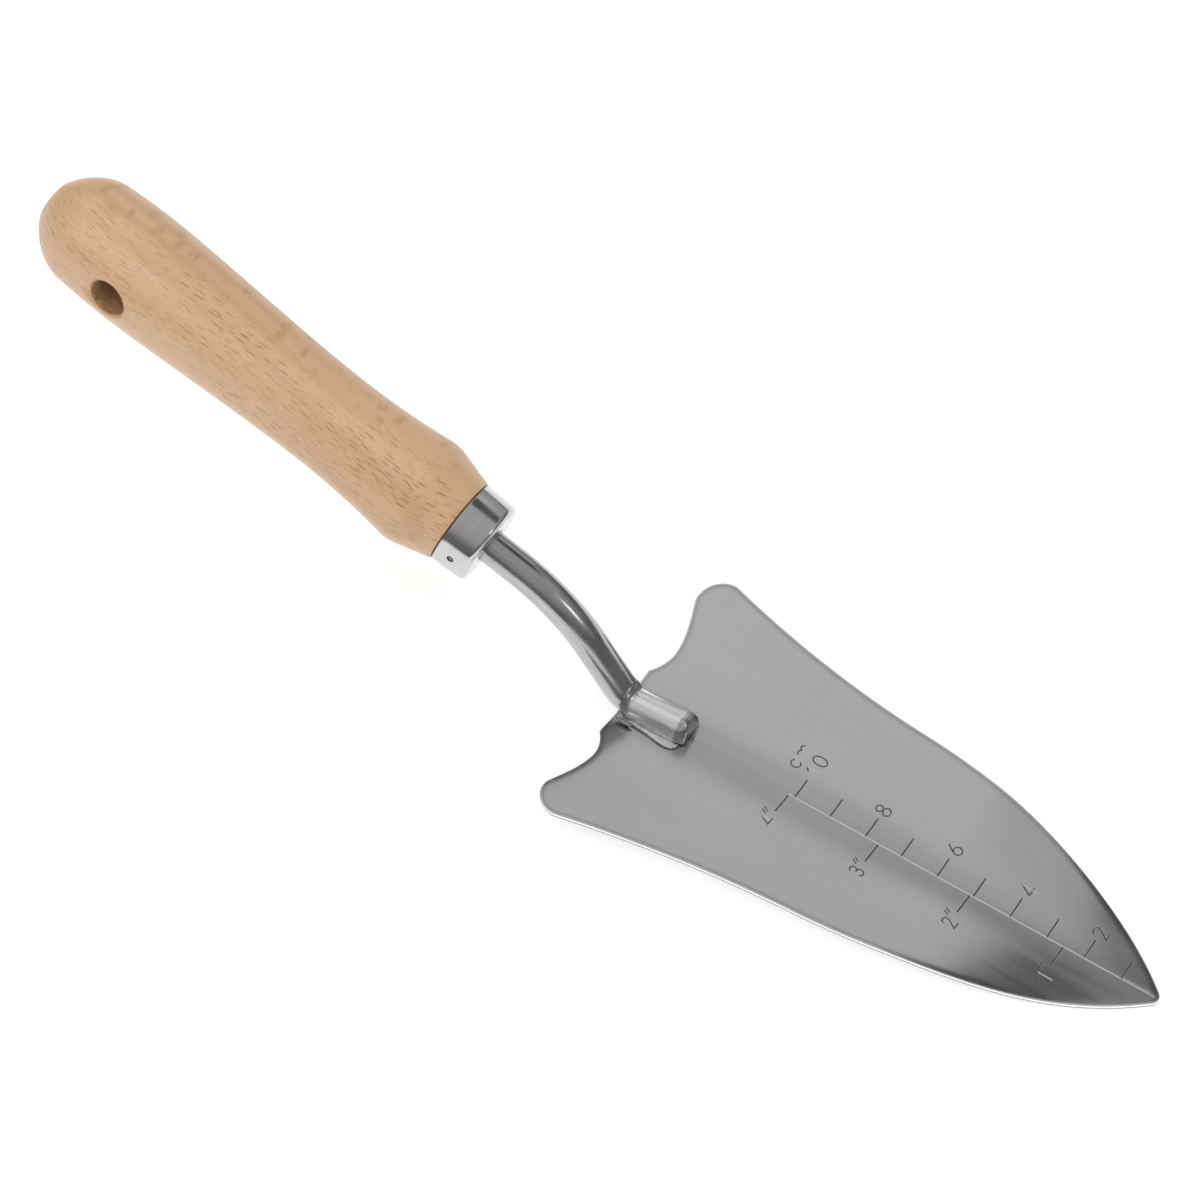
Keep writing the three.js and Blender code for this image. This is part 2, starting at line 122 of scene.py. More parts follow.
@dataclass(frozen=True)
class Bench:
    """Carries blade millimetres to the row frame."""

    tip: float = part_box("blade")[1].x
    valley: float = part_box("blade")[0].z + SHEET * MM

    def to_row(self, p: Points) -> Points:
        """Points in metres, in the row frame."""
        return np.asarray(p, float) * MM + np.array([self.tip, 0.0, self.valley])

    def matrix(self, at: Points, x: Points, y: Points, z: Points) -> Matrix:
        """A place in the row frame from a point in blade millimetres and three directions."""
        m = Matrix((tuple(x), tuple(y), tuple(z))).transposed().to_4x4()
        m.translation = Vector(self.to_row(at))
        return m


BENCH = Bench()


class Body(Enum):
    """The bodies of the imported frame."""

    ROOT = "root"


class Slot(Enum):
    """The record's material slots."""

    SHEET = "brushed_sheet"
    BAR = "polished_bar"
    WELD = "weld_metal"
    FERRULE = "polished_ferrule"
    PIN = "pin_steel"
    BEECH = "beech"
    EPOXY = "epoxy"


def add_object(name: str, data: bpy.types.ID) -> bpy.types.Object:
    """Makes an object and links it to the scene."""
    obj = bpy.data.objects.new(name, data)
    bpy.context.scene.collection.objects.link(obj)
    return obj


def circle(across: float, along: float, steps: int, z: float = 0.0) -> list[tuple[float, float, float]]:
    """Points round a level circle or oval with two half sizes."""
    turn = np.linspace(0, 2 * math.pi, steps, endpoint=False)
    return [(across * math.cos(a), along * math.sin(a), z) for a in turn]


def build_mesh(
    name: str, verts: Points, faces: Sequence[Sequence[int]], normals: Points | None = None
) -> bpy.types.Object:
    """Makes a smooth-shaded object.

    Args:
        name: the piece's name.
        verts: points in the object's own metres.
        faces: corner numbers of each face.
        normals: one direction a point, where the shape's own are known.

    Returns:
        The new object, linked to the scene.
    """
    mesh = bpy.data.meshes.new(name)
    mesh.from_pydata([tuple(v) for v in verts], [], [tuple(int(i) for i in f) for f in faces])
    mesh.validate()
    for polygon in mesh.polygons:
        polygon.use_smooth = True
    if normals is None:
        shell = bmesh.new()
        shell.from_mesh(mesh)
        bmesh.ops.recalc_face_normals(shell, faces=shell.faces)
        shell.to_mesh(mesh)
        shell.free()
    else:
        mesh.normals_split_custom_set_from_vertices([tuple(n) for n in normals])
    return add_object(name, mesh)


def settle(obj: bpy.types.Object, nodes: Sequence[str]) -> bpy.types.Object:
    """Makes a piece ride on the body and stand for its CAD nodes.

    Args:
        obj: the piece, in place.
        nodes: the CAD nodes that it stands for.

    Returns:
        The same piece.
    """
    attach(obj, Body.ROOT.value)
    if nodes:
        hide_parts(*nodes)
    log.info("%s: %d points, stands for %s", obj.name, len(obj.data.vertices), ", ".join(nodes) or "nothing")
    return obj


def skin(rings: Sequence[Points]) -> tuple[Points, list[tuple[int, ...]]]:
    """Joins rings of the same number of points into a tube and closes its ends with fans.

    Args:
        rings: rings of points, in order along the piece, each running the same way round.

    Returns:
        The points and the faces.
    """
    n = len(rings[0])
    verts = [p for ring in rings for p in ring]
    faces: list[tuple[int, ...]] = []
    for i in range(len(rings) - 1):
        for j in range(n):
            k = (j + 1) % n
            faces.append((i * n + j, i * n + k, (i + 1) * n + k, (i + 1) * n + j))
    for i, flip in ((0, True), (len(rings) - 1, False)):
        verts.append(np.mean(rings[i], axis=0))
        hub = len(verts) - 1
        for j in range(n):
            a, b = i * n + j, i * n + (j + 1) % n
            faces.append((b, a, hub) if flip else (a, b, hub))
    return np.array(verts), faces


def cut_with(target: bpy.types.Object, cutter: bpy.types.Object) -> None:
    """Cuts one piece with another, keeps the cutter's finish on the new faces and removes the cutter.

    Args:
        target: the piece that is cut.
        cutter: the tool's shape.
    """
    modifier = target.modifiers.new("cut", "BOOLEAN")
    modifier.operation = "DIFFERENCE"
    modifier.solver = "EXACT"
    modifier.object = cutter
    if hasattr(modifier, "material_mode"):
        modifier.material_mode = "TRANSFER"
    bpy.context.view_layer.update()
    cut = bpy.data.meshes.new_from_object(target.evaluated_get(bpy.context.evaluated_depsgraph_get()))
    target.modifiers.clear()
    target.data = cut
    bpy.data.objects.remove(cutter)


def sharpen(obj: bpy.types.Object, degrees: float) -> None:
    """Marks edges sharper than an angle, so that both faces keep their own shading."""
    obj.data.set_sharp_from_angle(angle=math.radians(degrees))


# ---------------------------------------------------------------- finishes


class Recipe:
    """A small helper that adds shader nodes and wires them."""

    def __init__(self, name: str) -> None:
        """Starts a material with a Principled shader."""
        self.material = bpy.data.materials.new(name)
        self.material.use_nodes = True
        self.tree = self.material.node_tree
        self.shader = self.tree.nodes["Principled BSDF"]
        self.coords = self.tree.nodes.new("ShaderNodeTexCoord")

    def feed(self, socket: bpy.types.NodeSocket, value: object) -> None:
        """Links one socket to another, or sets its value."""
        if isinstance(value, bpy.types.NodeSocket):
            self.tree.links.new(value, socket)
        else:
            socket.default_value = value

    def node(self, kind: str, **inputs: object) -> bpy.types.Node:
        """Adds a node.

        Args:
            kind: its type without the ShaderNode prefix.
            inputs: attributes of the node, or values and links of its inputs, with spaces as underscores.

        Returns:
            The node.
        """
        made = self.tree.nodes.new("ShaderNode" + kind)
        for key, value in inputs.items():
            if hasattr(made, key) and key not in ("inputs", "color"):
                setattr(made, key, value)
                continue
            self.feed(made.inputs[int(key[1:])] if key[0] == "_" else made.inputs[key.replace("_", " ")], value)
        return made

    def place(self, scale: Triple, turn: Triple = (0, 0, 0)) -> bpy.types.NodeSocket:
        """The object's own coordinates, turned and then stretched."""
        turned = self.node("Mapping", _0=self.coords.outputs["Object"], Rotation=turn)
        return self.node("Mapping", _0=turned.outputs[0], Scale=scale).outputs[0]

    def noise(self, where: bpy.types.NodeSocket, detail: float = 4.0, rough: float = 0.55) -> bpy.types.NodeSocket:
        """Noise over the given coordinates."""
        return self.node("TexNoise", Vector=where, Scale=1.0, Detail=detail, Roughness=rough).outputs["Fac"]

    def painted(self, name: str) -> bpy.types.NodeSocket:
        """A value painted on the mesh's points."""
        return self.node("Attribute", attribute_name=name).outputs["Fac"]

    def curve(
        self, value: bpy.types.NodeSocket, low: float, high: float, to_low: float, to_high: float
    ) -> bpy.types.NodeSocket:
        """Maps one span of values onto another, clamped."""
        made = self.node("MapRange", Value=value, From_Min=low, From_Max=high, To_Min=to_low, To_Max=to_high)
        return made.outputs[0]

    def spread(self, value: bpy.types.NodeSocket, to_low: float, to_high: float) -> bpy.types.NodeSocket:
        """Maps the span in which noise mostly lies onto another."""
        return self.curve(value, *NOISE_SPAN, to_low, to_high)

    def blend(self, share: object, a: object, b: object) -> bpy.types.NodeSocket:
        """Blends two colours.

        Args:
            share: how much of b.
            a: the first colour or link.
            b: the second colour or link.

        Returns:
            The blended colour.
        """
        made = self.tree.nodes.new("ShaderNodeMix")
        made.data_type = "RGBA"
        for number, value in ((0, share), (6, a), (7, b)):
            self.feed(made.inputs[number], value)
        return made.outputs[2]

    def math(self, how: str, a: object, b: object = 0.0) -> bpy.types.NodeSocket:
        """Arithmetic on two values or links."""
        return self.node("Math", operation=how, _0=a, _1=b).outputs[0]

    def bump(
        self, height: bpy.types.NodeSocket, depth_mm: float, after: bpy.types.Node | None = None
    ) -> bpy.types.Node:
        """Adds relief of a real depth, on top of an earlier relief if one is given."""
        made = self.node("Bump", Height=height, Strength=1.0, Distance=depth_mm * MM)
        if after is not None:
            self.tree.links.new(after.outputs[0], made.inputs["Normal"])
        return made

    def wire(self, **links: bpy.types.NodeSocket | float | tuple[float, ...]) -> bpy.types.Material:
        """Sets or links the shader's own sockets and returns the material."""
        for key, value in links.items():
            self.feed(self.shader.inputs[key.replace("_", " ")], value)
        return self.material


def grey(level: float, warmth: float = 0.0) -> tuple[float, float, float, float]:
    """A neutral colour, a little warmer or cooler."""
    return (level * (1 + warmth), level, level * (1 - warmth), 1.0)


@dataclass(frozen=True)
class BrushedSheet:
    """Stainless sheet, brushed along the blade, with handling scratches, small pits, and painted shade and painted
    highlights read from the mesh.
    """

    dark: float = 0.53
    light: float = 0.61
    rough_low: float = 0.17
    rough_high: float = 0.23
    line_depth: float = 0.0018
    # the next three set the colours of the painted edge shade, the painted highlight and the painted groove shade
    band: float = 0.36
    bright: float = 0.92
    groove_shade_level: float = 0.09
    pitted: Triple = (0.0376, 0.0306, 0.0075)

    def make(self) -> bpy.types.Material:
        """Builds the material."""
        r = Recipe("brushed_sheet")
        lines = r.noise(r.place((45, 5200, 900)), 3, 0.6)
        bands = r.noise(r.place((10, 420, 160)), 3, 0.5)
        cloud = r.noise(r.place((28, 40, 40)), 3, 0.5)
        tone = r.math("ADD", r.spread(lines, 0.0, 0.45), r.spread(bands, 0.0, 0.35))
        tone = r.math("ADD", tone, r.spread(cloud, 0.0, 0.2))
        colour = r.blend(tone, grey(self.dark, 0.004), grey(self.light, 0.002))
        scratch = self.scratches(r)
        colour = r.blend(r.math("MULTIPLY", scratch, 0.35), colour, grey(0.72))
        pits = self.pits(r)
        colour = r.blend(r.math("MULTIPLY", pits, 0.6), colour, grey(0.2))
        # painted shade: a darker band along the cut edge
        colour = r.blend(r.math("MULTIPLY", r.painted("painted_edge_shade"), 0.55), colour, grey(self.band))
        # painted highlight: the rim, the land and the grooves that run along the brushing
        colour = r.blend(r.painted("painted_highlight"), colour, grey(self.bright))
        # painted shade: the grooves that run across the brushing are darkened
        colour = r.blend(r.painted("painted_groove_shade"), colour, grey(self.groove_shade_level))
        rough = r.math("ADD", r.spread(bands, self.rough_low, self.rough_high), r.math("MULTIPLY", pits, 0.2))
        relief = r.bump(lines, self.line_depth)
        relief = r.bump(r.math("MULTIPLY", scratch, -1.0), 0.004, relief)
        relief = r.bump(r.math("MULTIPLY", pits, -1.0), 0.03, relief)
        return r.wire(Base_Color=colour, Metallic=1.0, Roughness=rough, Normal=relief.outputs[0])

    def scratches(self, r: Recipe) -> bpy.types.NodeSocket:
        """Sparse fine scratches in three directions."""
        total = None
        for turn, cut in ((0.06, 0.74), (-0.35, 0.76), (1.1, 0.775)):
            where = r.place((38, 2600, 300), (0, 0, turn))
            line = r.curve(r.noise(where, 2, 0.5), cut, cut + 0.03, 0.0, 1.0)
            total = line if total is None else r.math("MAXIMUM", total, line)
        return total

    def pits(self, r: Recipe) -> bpy.types.NodeSocket:
        """Small round pits, in clusters."""
        cells = r.node("TexVoronoi", Vector=r.place((1000, 1000, 1000)), Scale=0.42, Randomness=1.0)
        dot = r.curve(cells.outputs["Distance"], 0.035, 0.075, 1.0, 0.0)
        where = r.curve(r.noise(r.place((70, 70, 70)), 2, 0.5), 0.63, 0.72, 0.0, 1.0)
        away = r.node("VectorMath", operation="DISTANCE", _0=r.coords.outputs["Object"], _1=self.pitted)
        where = r.math("MAXIMUM", where, r.curve(away.outputs["Value"], 0.003, 0.006, 1.0, 0.0))
        return r.math("MULTIPLY", dot, where)


@dataclass(frozen=True)
class Polished:
    """Bright drawn or turned steel, with faint drawing lines, a few marks and an optional painted highlight."""

    name: str
    level: float
    rough: float
    stretch: Triple
    line_depth: float
    marks: float = 0.0
    warmth: float = 0.01
    dull: float = 0.82
    foot_highlight: float = 0.0

    def make(self) -> bpy.types.Material:
        """Builds the material."""
        r = Recipe(self.name)
        lines = r.noise(r.place(self.stretch), 3, 0.6)
        smears = r.noise(r.place((90, 90, 90)), 4, 0.6)
        tone = r.math("ADD", r.spread(smears, 0, 0.4), r.spread(lines, 0, 0.6))
        colour = r.blend(tone, grey(self.level * self.dull, self.warmth), grey(self.level, self.warmth))
        rough = r.curve(smears, 0.35, 0.75, self.rough * 0.7, self.rough * 1.35)
        rough = r.math("ADD", rough, r.curve(lines, 0.5, 0.8, 0, 0.04))
        relief = r.bump(lines, self.line_depth)
        if self.marks > 0:
            spots = r.noise(r.place((900, 900, 900)), 5, 0.7)
            speck = r.curve(spots, 0.6, 0.7, 0.0, 1.0)
            colour = r.blend(r.math("MULTIPLY", speck, 0.4), colour, grey(self.level * 0.35))
            relief = r.bump(speck, self.marks, relief)
            rough = r.math("ADD", rough, r.math("MULTIPLY", speck, 0.12))
        # painted highlight on the foot, from the mesh's mask
        if self.foot_highlight > 0:
            highlight_mask = r.painted("foot_highlight")
            highlight_colour = r.blend(r.curve(lines, 0.35, 0.65, 0, 1), grey(self.foot_highlight * 0.86), grey(self.foot_highlight))
            colour = r.blend(highlight_mask, colour, highlight_colour)
            rough = r.math("ADD", rough, r.math("MULTIPLY", highlight_mask, 0.06))
        return r.wire(Base_Color=colour, Metallic=1.0, Roughness=rough, Normal=relief.outputs[0])


@dataclass(frozen=True)
class WeldMetal:
    """Metal that melted and was partly brushed clean."""

    name: str = "weld_metal"
    level: float = 0.88

    def make(self) -> bpy.types.Material:
        """Builds the material."""
        r = Recipe(self.name)
        lump = r.noise(r.place((700, 700, 700)), 4, 0.6)
        grain = r.noise(r.place((3200, 3200, 3200)), 3, 0.6)
        colour = r.blend(r.curve(lump, 0.35, 0.7, 0, 1), grey(self.level * 0.66), grey(self.level))
        relief = r.bump(grain, 0.003, r.bump(lump, 0.018))
        rough = r.spread(lump, 0.16, 0.4)
        return r.wire(Base_Color=colour, Metallic=1.0, Roughness=rough, Normal=relief.outputs[0])


@dataclass(frozen=True)
class CutEdge:
    """The sheared edge of the sheet, with fine upright drag lines; its dark colour is painted shade."""

    level: float = 0.22

    def make(self) -> bpy.types.Material:
        """Builds the material."""
        r = Recipe("cut_edge")
        drag = r.noise(r.place((2600, 2600, 120)), 3, 0.6)
        colour = r.blend(r.spread(drag, 0, 1), grey(self.level * 0.8), grey(self.level * 1.15))
        relief = r.bump(drag, 0.01)
        rough = r.spread(drag, 0.3, 0.45)
        return r.wire(Base_Color=colour, Metallic=1.0, Roughness=rough, Normal=relief.outputs[0])


@dataclass(frozen=True)
class Beech:
    """Varnished beech, turned along local Z, with growth rings and rays that show as dashes or patches."""

    pale: tuple[float, float, float, float] = (0.68, 0.448, 0.272, 1)
    tan: tuple[float, float, float, float] = (0.615, 0.382, 0.212, 1)
    ring: tuple[float, float, float, float] = (0.46, 0.24, 0.105, 1)
    ray: tuple[float, float, float, float] = (0.235, 0.11, 0.05, 1)
    varnish: float = 0.4
    heart_turn: float = -0.45

    def make(self) -> bpy.types.Material:
        """Builds the material."""
        r = Recipe("beech")
        fibres = r.noise(r.place((1700, 1700, 60), (0.06, 0.03, 0)), 4, 0.65)
        drift = r.noise(r.place((60, 60, 14)), 3, 0.5)
        colour = r.blend(r.spread(drift, 0, 1), self.pale, self.tan)
        colour = r.blend(r.curve(self.off_heart(r), 0.002, 0.012, 0.16, 0.0), colour, self.ring)
        colour = r.blend(r.math("MULTIPLY", self.rings(r), 0.36), colour, self.ring)
        colour = r.blend(r.curve(fibres, 0.4, 0.8, 0.0, 0.34), colour, self.ring)
        colour = r.blend(r.math("MULTIPLY", self.patches(r), 0.62), colour, self.ring)
        rays = self.rays(r)
        colour = r.blend(r.math("MULTIPLY", rays, 0.82), colour, self.ray)
        colour = r.blend(r.math("MULTIPLY", self.blotch(r), 0.4), colour, self.ring)
        relief = r.bump(fibres, 0.007)
        relief = r.bump(r.math("MULTIPLY", rays, -1.0), 0.02, relief)
        return r.wire(
            Base_Color=colour,
            Roughness=r.spread(drift, 0.42, 0.52),
            Normal=relief.outputs[0],
            Coat_Weight=self.varnish,
            Coat_Roughness=0.3,
        )

    def rings(self, r: Recipe) -> bpy.types.NodeSocket:
        """Growth rings: gently waved sheets that cross the handle at a slant."""
        where = r.place((1.0, 1.0, 1.0), (0.05, -0.035, self.heart_turn))
        waved = r.node("TexWave", wave_type="BANDS", bands_direction="Y", Vector=where, Scale=62.0,
                       Distortion=5.0, Detail=3.0, Detail_Scale=0.35, Detail_Roughness=0.55)
        faint = r.curve(r.noise(r.place((40, 40, 11)), 3, 0.5), 0.38, 0.68, 0.1, 1.0)
        return r.math("MULTIPLY", r.curve(waved.outputs["Fac"], 0.35, 1.0, 0.0, 1.0), faint)

    def lens(self, r: Recipe, cell: Triple, half: Triple) -> bpy.types.NodeSocket:
        """Scattered lens shapes with given half sizes, one in each cell, in millimetres."""
        scale = tuple(1000.0 / c for c in cell)
        where = r.place(scale, (0.05, 0.02, self.heart_turn))
        cells = r.node("TexVoronoi", Vector=where, Scale=1.0, Randomness=1.0)
        away = r.node("VectorMath", operation="SUBTRACT", _0=where, _1=cells.outputs["Position"])
        share = tuple(c / h for c, h in zip(cell, half, strict=True))
        sized = r.node("VectorMath", operation="MULTIPLY", _0=away.outputs[0], _1=share)
        far = r.node("VectorMath", operation="LENGTH", _0=sized.outputs[0])
        return r.curve(far.outputs["Value"], 0.66, 1.0, 1.0, 0.0)

    def rays(self, r: Recipe) -> bpy.types.NodeSocket:
        """Thin upright rays: dashes where the surface cuts them on edge."""
        thin = self.lens(r, (1.0, 5.0, 3.9), (0.125, 2.6, 1.65))
        thinner = self.lens(r, (0.75, 3.0, 2.6), (0.075, 1.5, 0.95))
        both = r.math("MAXIMUM", thin, r.math("MULTIPLY", thinner, 0.6))
        both = r.math("MULTIPLY", both, r.curve(self.off_heart(r), 0.0035, 0.009, 0.05, 1.0))
        return r.math("MULTIPLY", both, r.curve(r.noise(r.place((130, 130, 30)), 2, 0.6), 0.36, 0.6, 0.35, 1.0))

    def patches(self, r: Recipe) -> bpy.types.NodeSocket:
        """Broad arched flecks where the surface runs along the rays."""
        broad = self.lens(r, (4.0, 7.0, 5.5), (1.3, 3.2, 1.5))
        ribs = r.curve(r.noise(r.place((260, 260, 900)), 2, 0.5), 0.4, 0.6, 0.3, 1.0)
        flat_on = r.curve(self.off_heart(r), 0.003, 0.0075, 1.0, 0.0)
        return r.math("MULTIPLY", r.math("MULTIPLY", broad, ribs), flat_on)

    def off_heart(self, r: Recipe) -> bpy.types.NodeSocket:
        """How far a point lies to the side of the plane in which the surface runs along the rays, in metres."""
        split = r.node("SeparateXYZ", Vector=r.place((1, 1, 1), (0, 0, self.heart_turn)))
        return r.math("ABSOLUTE", split.outputs["Y"])

    def blotch(self, r: Recipe) -> bpy.types.NodeSocket:
        """One small darker patch near the butt."""
        away = r.node("VectorMath", operation="DISTANCE", _0=r.coords.outputs["Object"], _1=(0.0125, 0.0, 0.111))
        return r.curve(away.outputs["Value"], 0.0015, 0.0035, 1.0, 0.0)


@dataclass(frozen=True)
class RawBore:
    """Bare wood where the hanging hole is drilled: rougher, browner, unvarnished."""

    def make(self) -> bpy.types.Material:
        """Builds the material."""
        r = Recipe("bored_beech")
        rings = r.noise(r.place((1600, 1600, 500)), 4, 0.65)
        colour = r.blend(r.spread(rings, 0, 1), (0.22, 0.115, 0.055, 1), (0.46, 0.28, 0.155, 1))
        relief = r.bump(rings, 0.12)
        return r.wire(Base_Color=colour, Roughness=r.spread(rings, 0.6, 0.8), Normal=relief.outputs[0])


@dataclass(frozen=True)
class Adhesive:
    """Set epoxy, cloudy and a little yellow."""

    def make(self) -> bpy.types.Material:
        """Builds the material."""
        r = Recipe("epoxy")
        cloud = r.noise(r.place((300, 300, 300)), 3, 0.5)
        colour = r.blend(cloud, (0.42, 0.33, 0.16, 1), (0.55, 0.45, 0.25, 1))
        relief = r.bump(cloud, 0.05)
        return r.wire(Base_Color=colour, Roughness=r.spread(cloud, 0.3, 0.5), Normal=relief.outputs[0])


# ---------------------------------------------------------------- blade


def bezier(a: Sequence[float], b: Sequence[float], c: Sequence[float], d: Sequence[float], steps: int) -> Points:
    """Points along a cubic curve, without its last one."""
    t = np.linspace(0, 1, steps, endpoint=False)[:, None]
    a, b, c, d = (np.asarray(p, float) for p in (a, b, c, d))
    return (1 - t) ** 3 * a + 3 * (1 - t) ** 2 * t * b + 3 * (1 - t) * t * t * c + t**3 * d


def to_segments(p: Points, a: Points, b: Points) -> tuple[np.ndarray, np.ndarray]:
    """Distance from each point to the nearest of some segments.

    Args:
        p: points in the plane, one a row.
        a: the segments' starts.
        b: the segments' ends.

    Returns:
        The distances, and the number of the nearest segment.
    """
    best = np.full(len(p), 1e9)
    which = np.zeros(len(p), int)
    for i in range(len(a)):
        run = b[i] - a[i]
        t = np.clip(((p - a[i]) @ run) / max(run @ run, 1e-12), 0, 1)
        gap = np.hypot(*(p - a[i] - t[:, None] * run).T)
        closer = gap < best
        best[closer] = gap[closer]
        which[closer] = i
    return best, which


def to_outline(p: Points, loop: Points) -> np.ndarray:
    """Distance from each point to a closed line."""
    return to_segments(p, loop, np.roll(loop, -1, 0))[0]


class Glyph(Enum):
    """Single-stroke numerals and marks in a box one high: lines of (right, up) points."""

    ONE = (((0.12, 0.78), (0.34, 1.0), (0.34, 0.0)),)
    TWO = (
        ((0.05, 0.78), (0.12, 0.93), (0.3, 1.0), (0.48, 0.93), (0.55, 0.76), (0.48, 0.58), (0.05, 0.0), (0.58, 0.0)),
    )
    THREE = (
        ((0.06, 0.85), (0.18, 0.98), (0.34, 1.0), (0.5, 0.9), (0.52, 0.72), (0.4, 0.56), (0.24, 0.53)),
        ((0.24, 0.53), (0.44, 0.5), (0.56, 0.34), (0.52, 0.12), (0.34, 0.0), (0.16, 0.02), (0.04, 0.16)),
    )
    FOUR = (((0.42, 0.0), (0.42, 1.0), (0.02, 0.28), (0.6, 0.28)),)
    SIX = (
        ((0.46, 1.0), (0.2, 0.66), (0.06, 0.36), (0.1, 0.12), (0.3, 0.0), (0.5, 0.08), (0.58, 0.3), (0.48, 0.52),
         (0.3, 0.6), (0.12, 0.5)),
    )
    EIGHT = (
        ((0.3, 0.54), (0.12, 0.64), (0.08, 0.82), (0.18, 0.96), (0.3, 1.0), (0.42, 0.96), (0.52, 0.82), (0.48, 0.64),
         (0.3, 0.54), (0.08, 0.42), (0.03, 0.22), (0.14, 0.05), (0.3, 0.0), (0.46, 0.05), (0.57, 0.22), (0.52, 0.42),
         (0.3, 0.54)),
    )
    ZERO = (
        ((0.3, 1.0), (0.12, 0.9), (0.04, 0.68), (0.03, 0.5), (0.04, 0.32), (0.12, 0.1), (0.3, 0.0), (0.48, 0.1),
         (0.56, 0.32), (0.57, 0.5), (0.56, 0.68), (0.48, 0.9), (0.3, 1.0)),
    )
    SMALL_C = (((0.5, 0.56), (0.34, 0.66), (0.14, 0.6), (0.04, 0.34), (0.14, 0.08), (0.34, 0.0), (0.5, 0.1)),)
    SMALL_M = (
        ((0.0, 0.66), (0.0, 0.0)),
        ((0.0, 0.48), (0.12, 0.64), (0.28, 0.64), (0.36, 0.48), (0.36, 0.0)),
        ((0.36, 0.48), (0.48, 0.64), (0.64, 0.64), (0.72, 0.48), (0.72, 0.0)),
    )
    INCH = (((0.2, 1.0), (0.0, 0.66)), ((0.44, 1.0), (0.24, 0.66)))


@dataclass(frozen=True)
class Mark:
    """One numeral on the scale."""

    glyph: Glyph
    x: float
    y: float
    tall: float = 4.0

    def lines(self) -> list[Points]:
        """Its strokes, in blade millimetres; the glyph's up is -X and its right is +Y."""
        strokes = [np.asarray(stroke, float) * self.tall for stroke in self.glyph.value]
        every = np.vstack(strokes)
        middle = (every.max(axis=0) + every.min(axis=0)) / 2
        return [np.column_stack([self.x + middle[1] - p[:, 1], self.y - middle[0] + p[:, 0]]) for p in strokes]


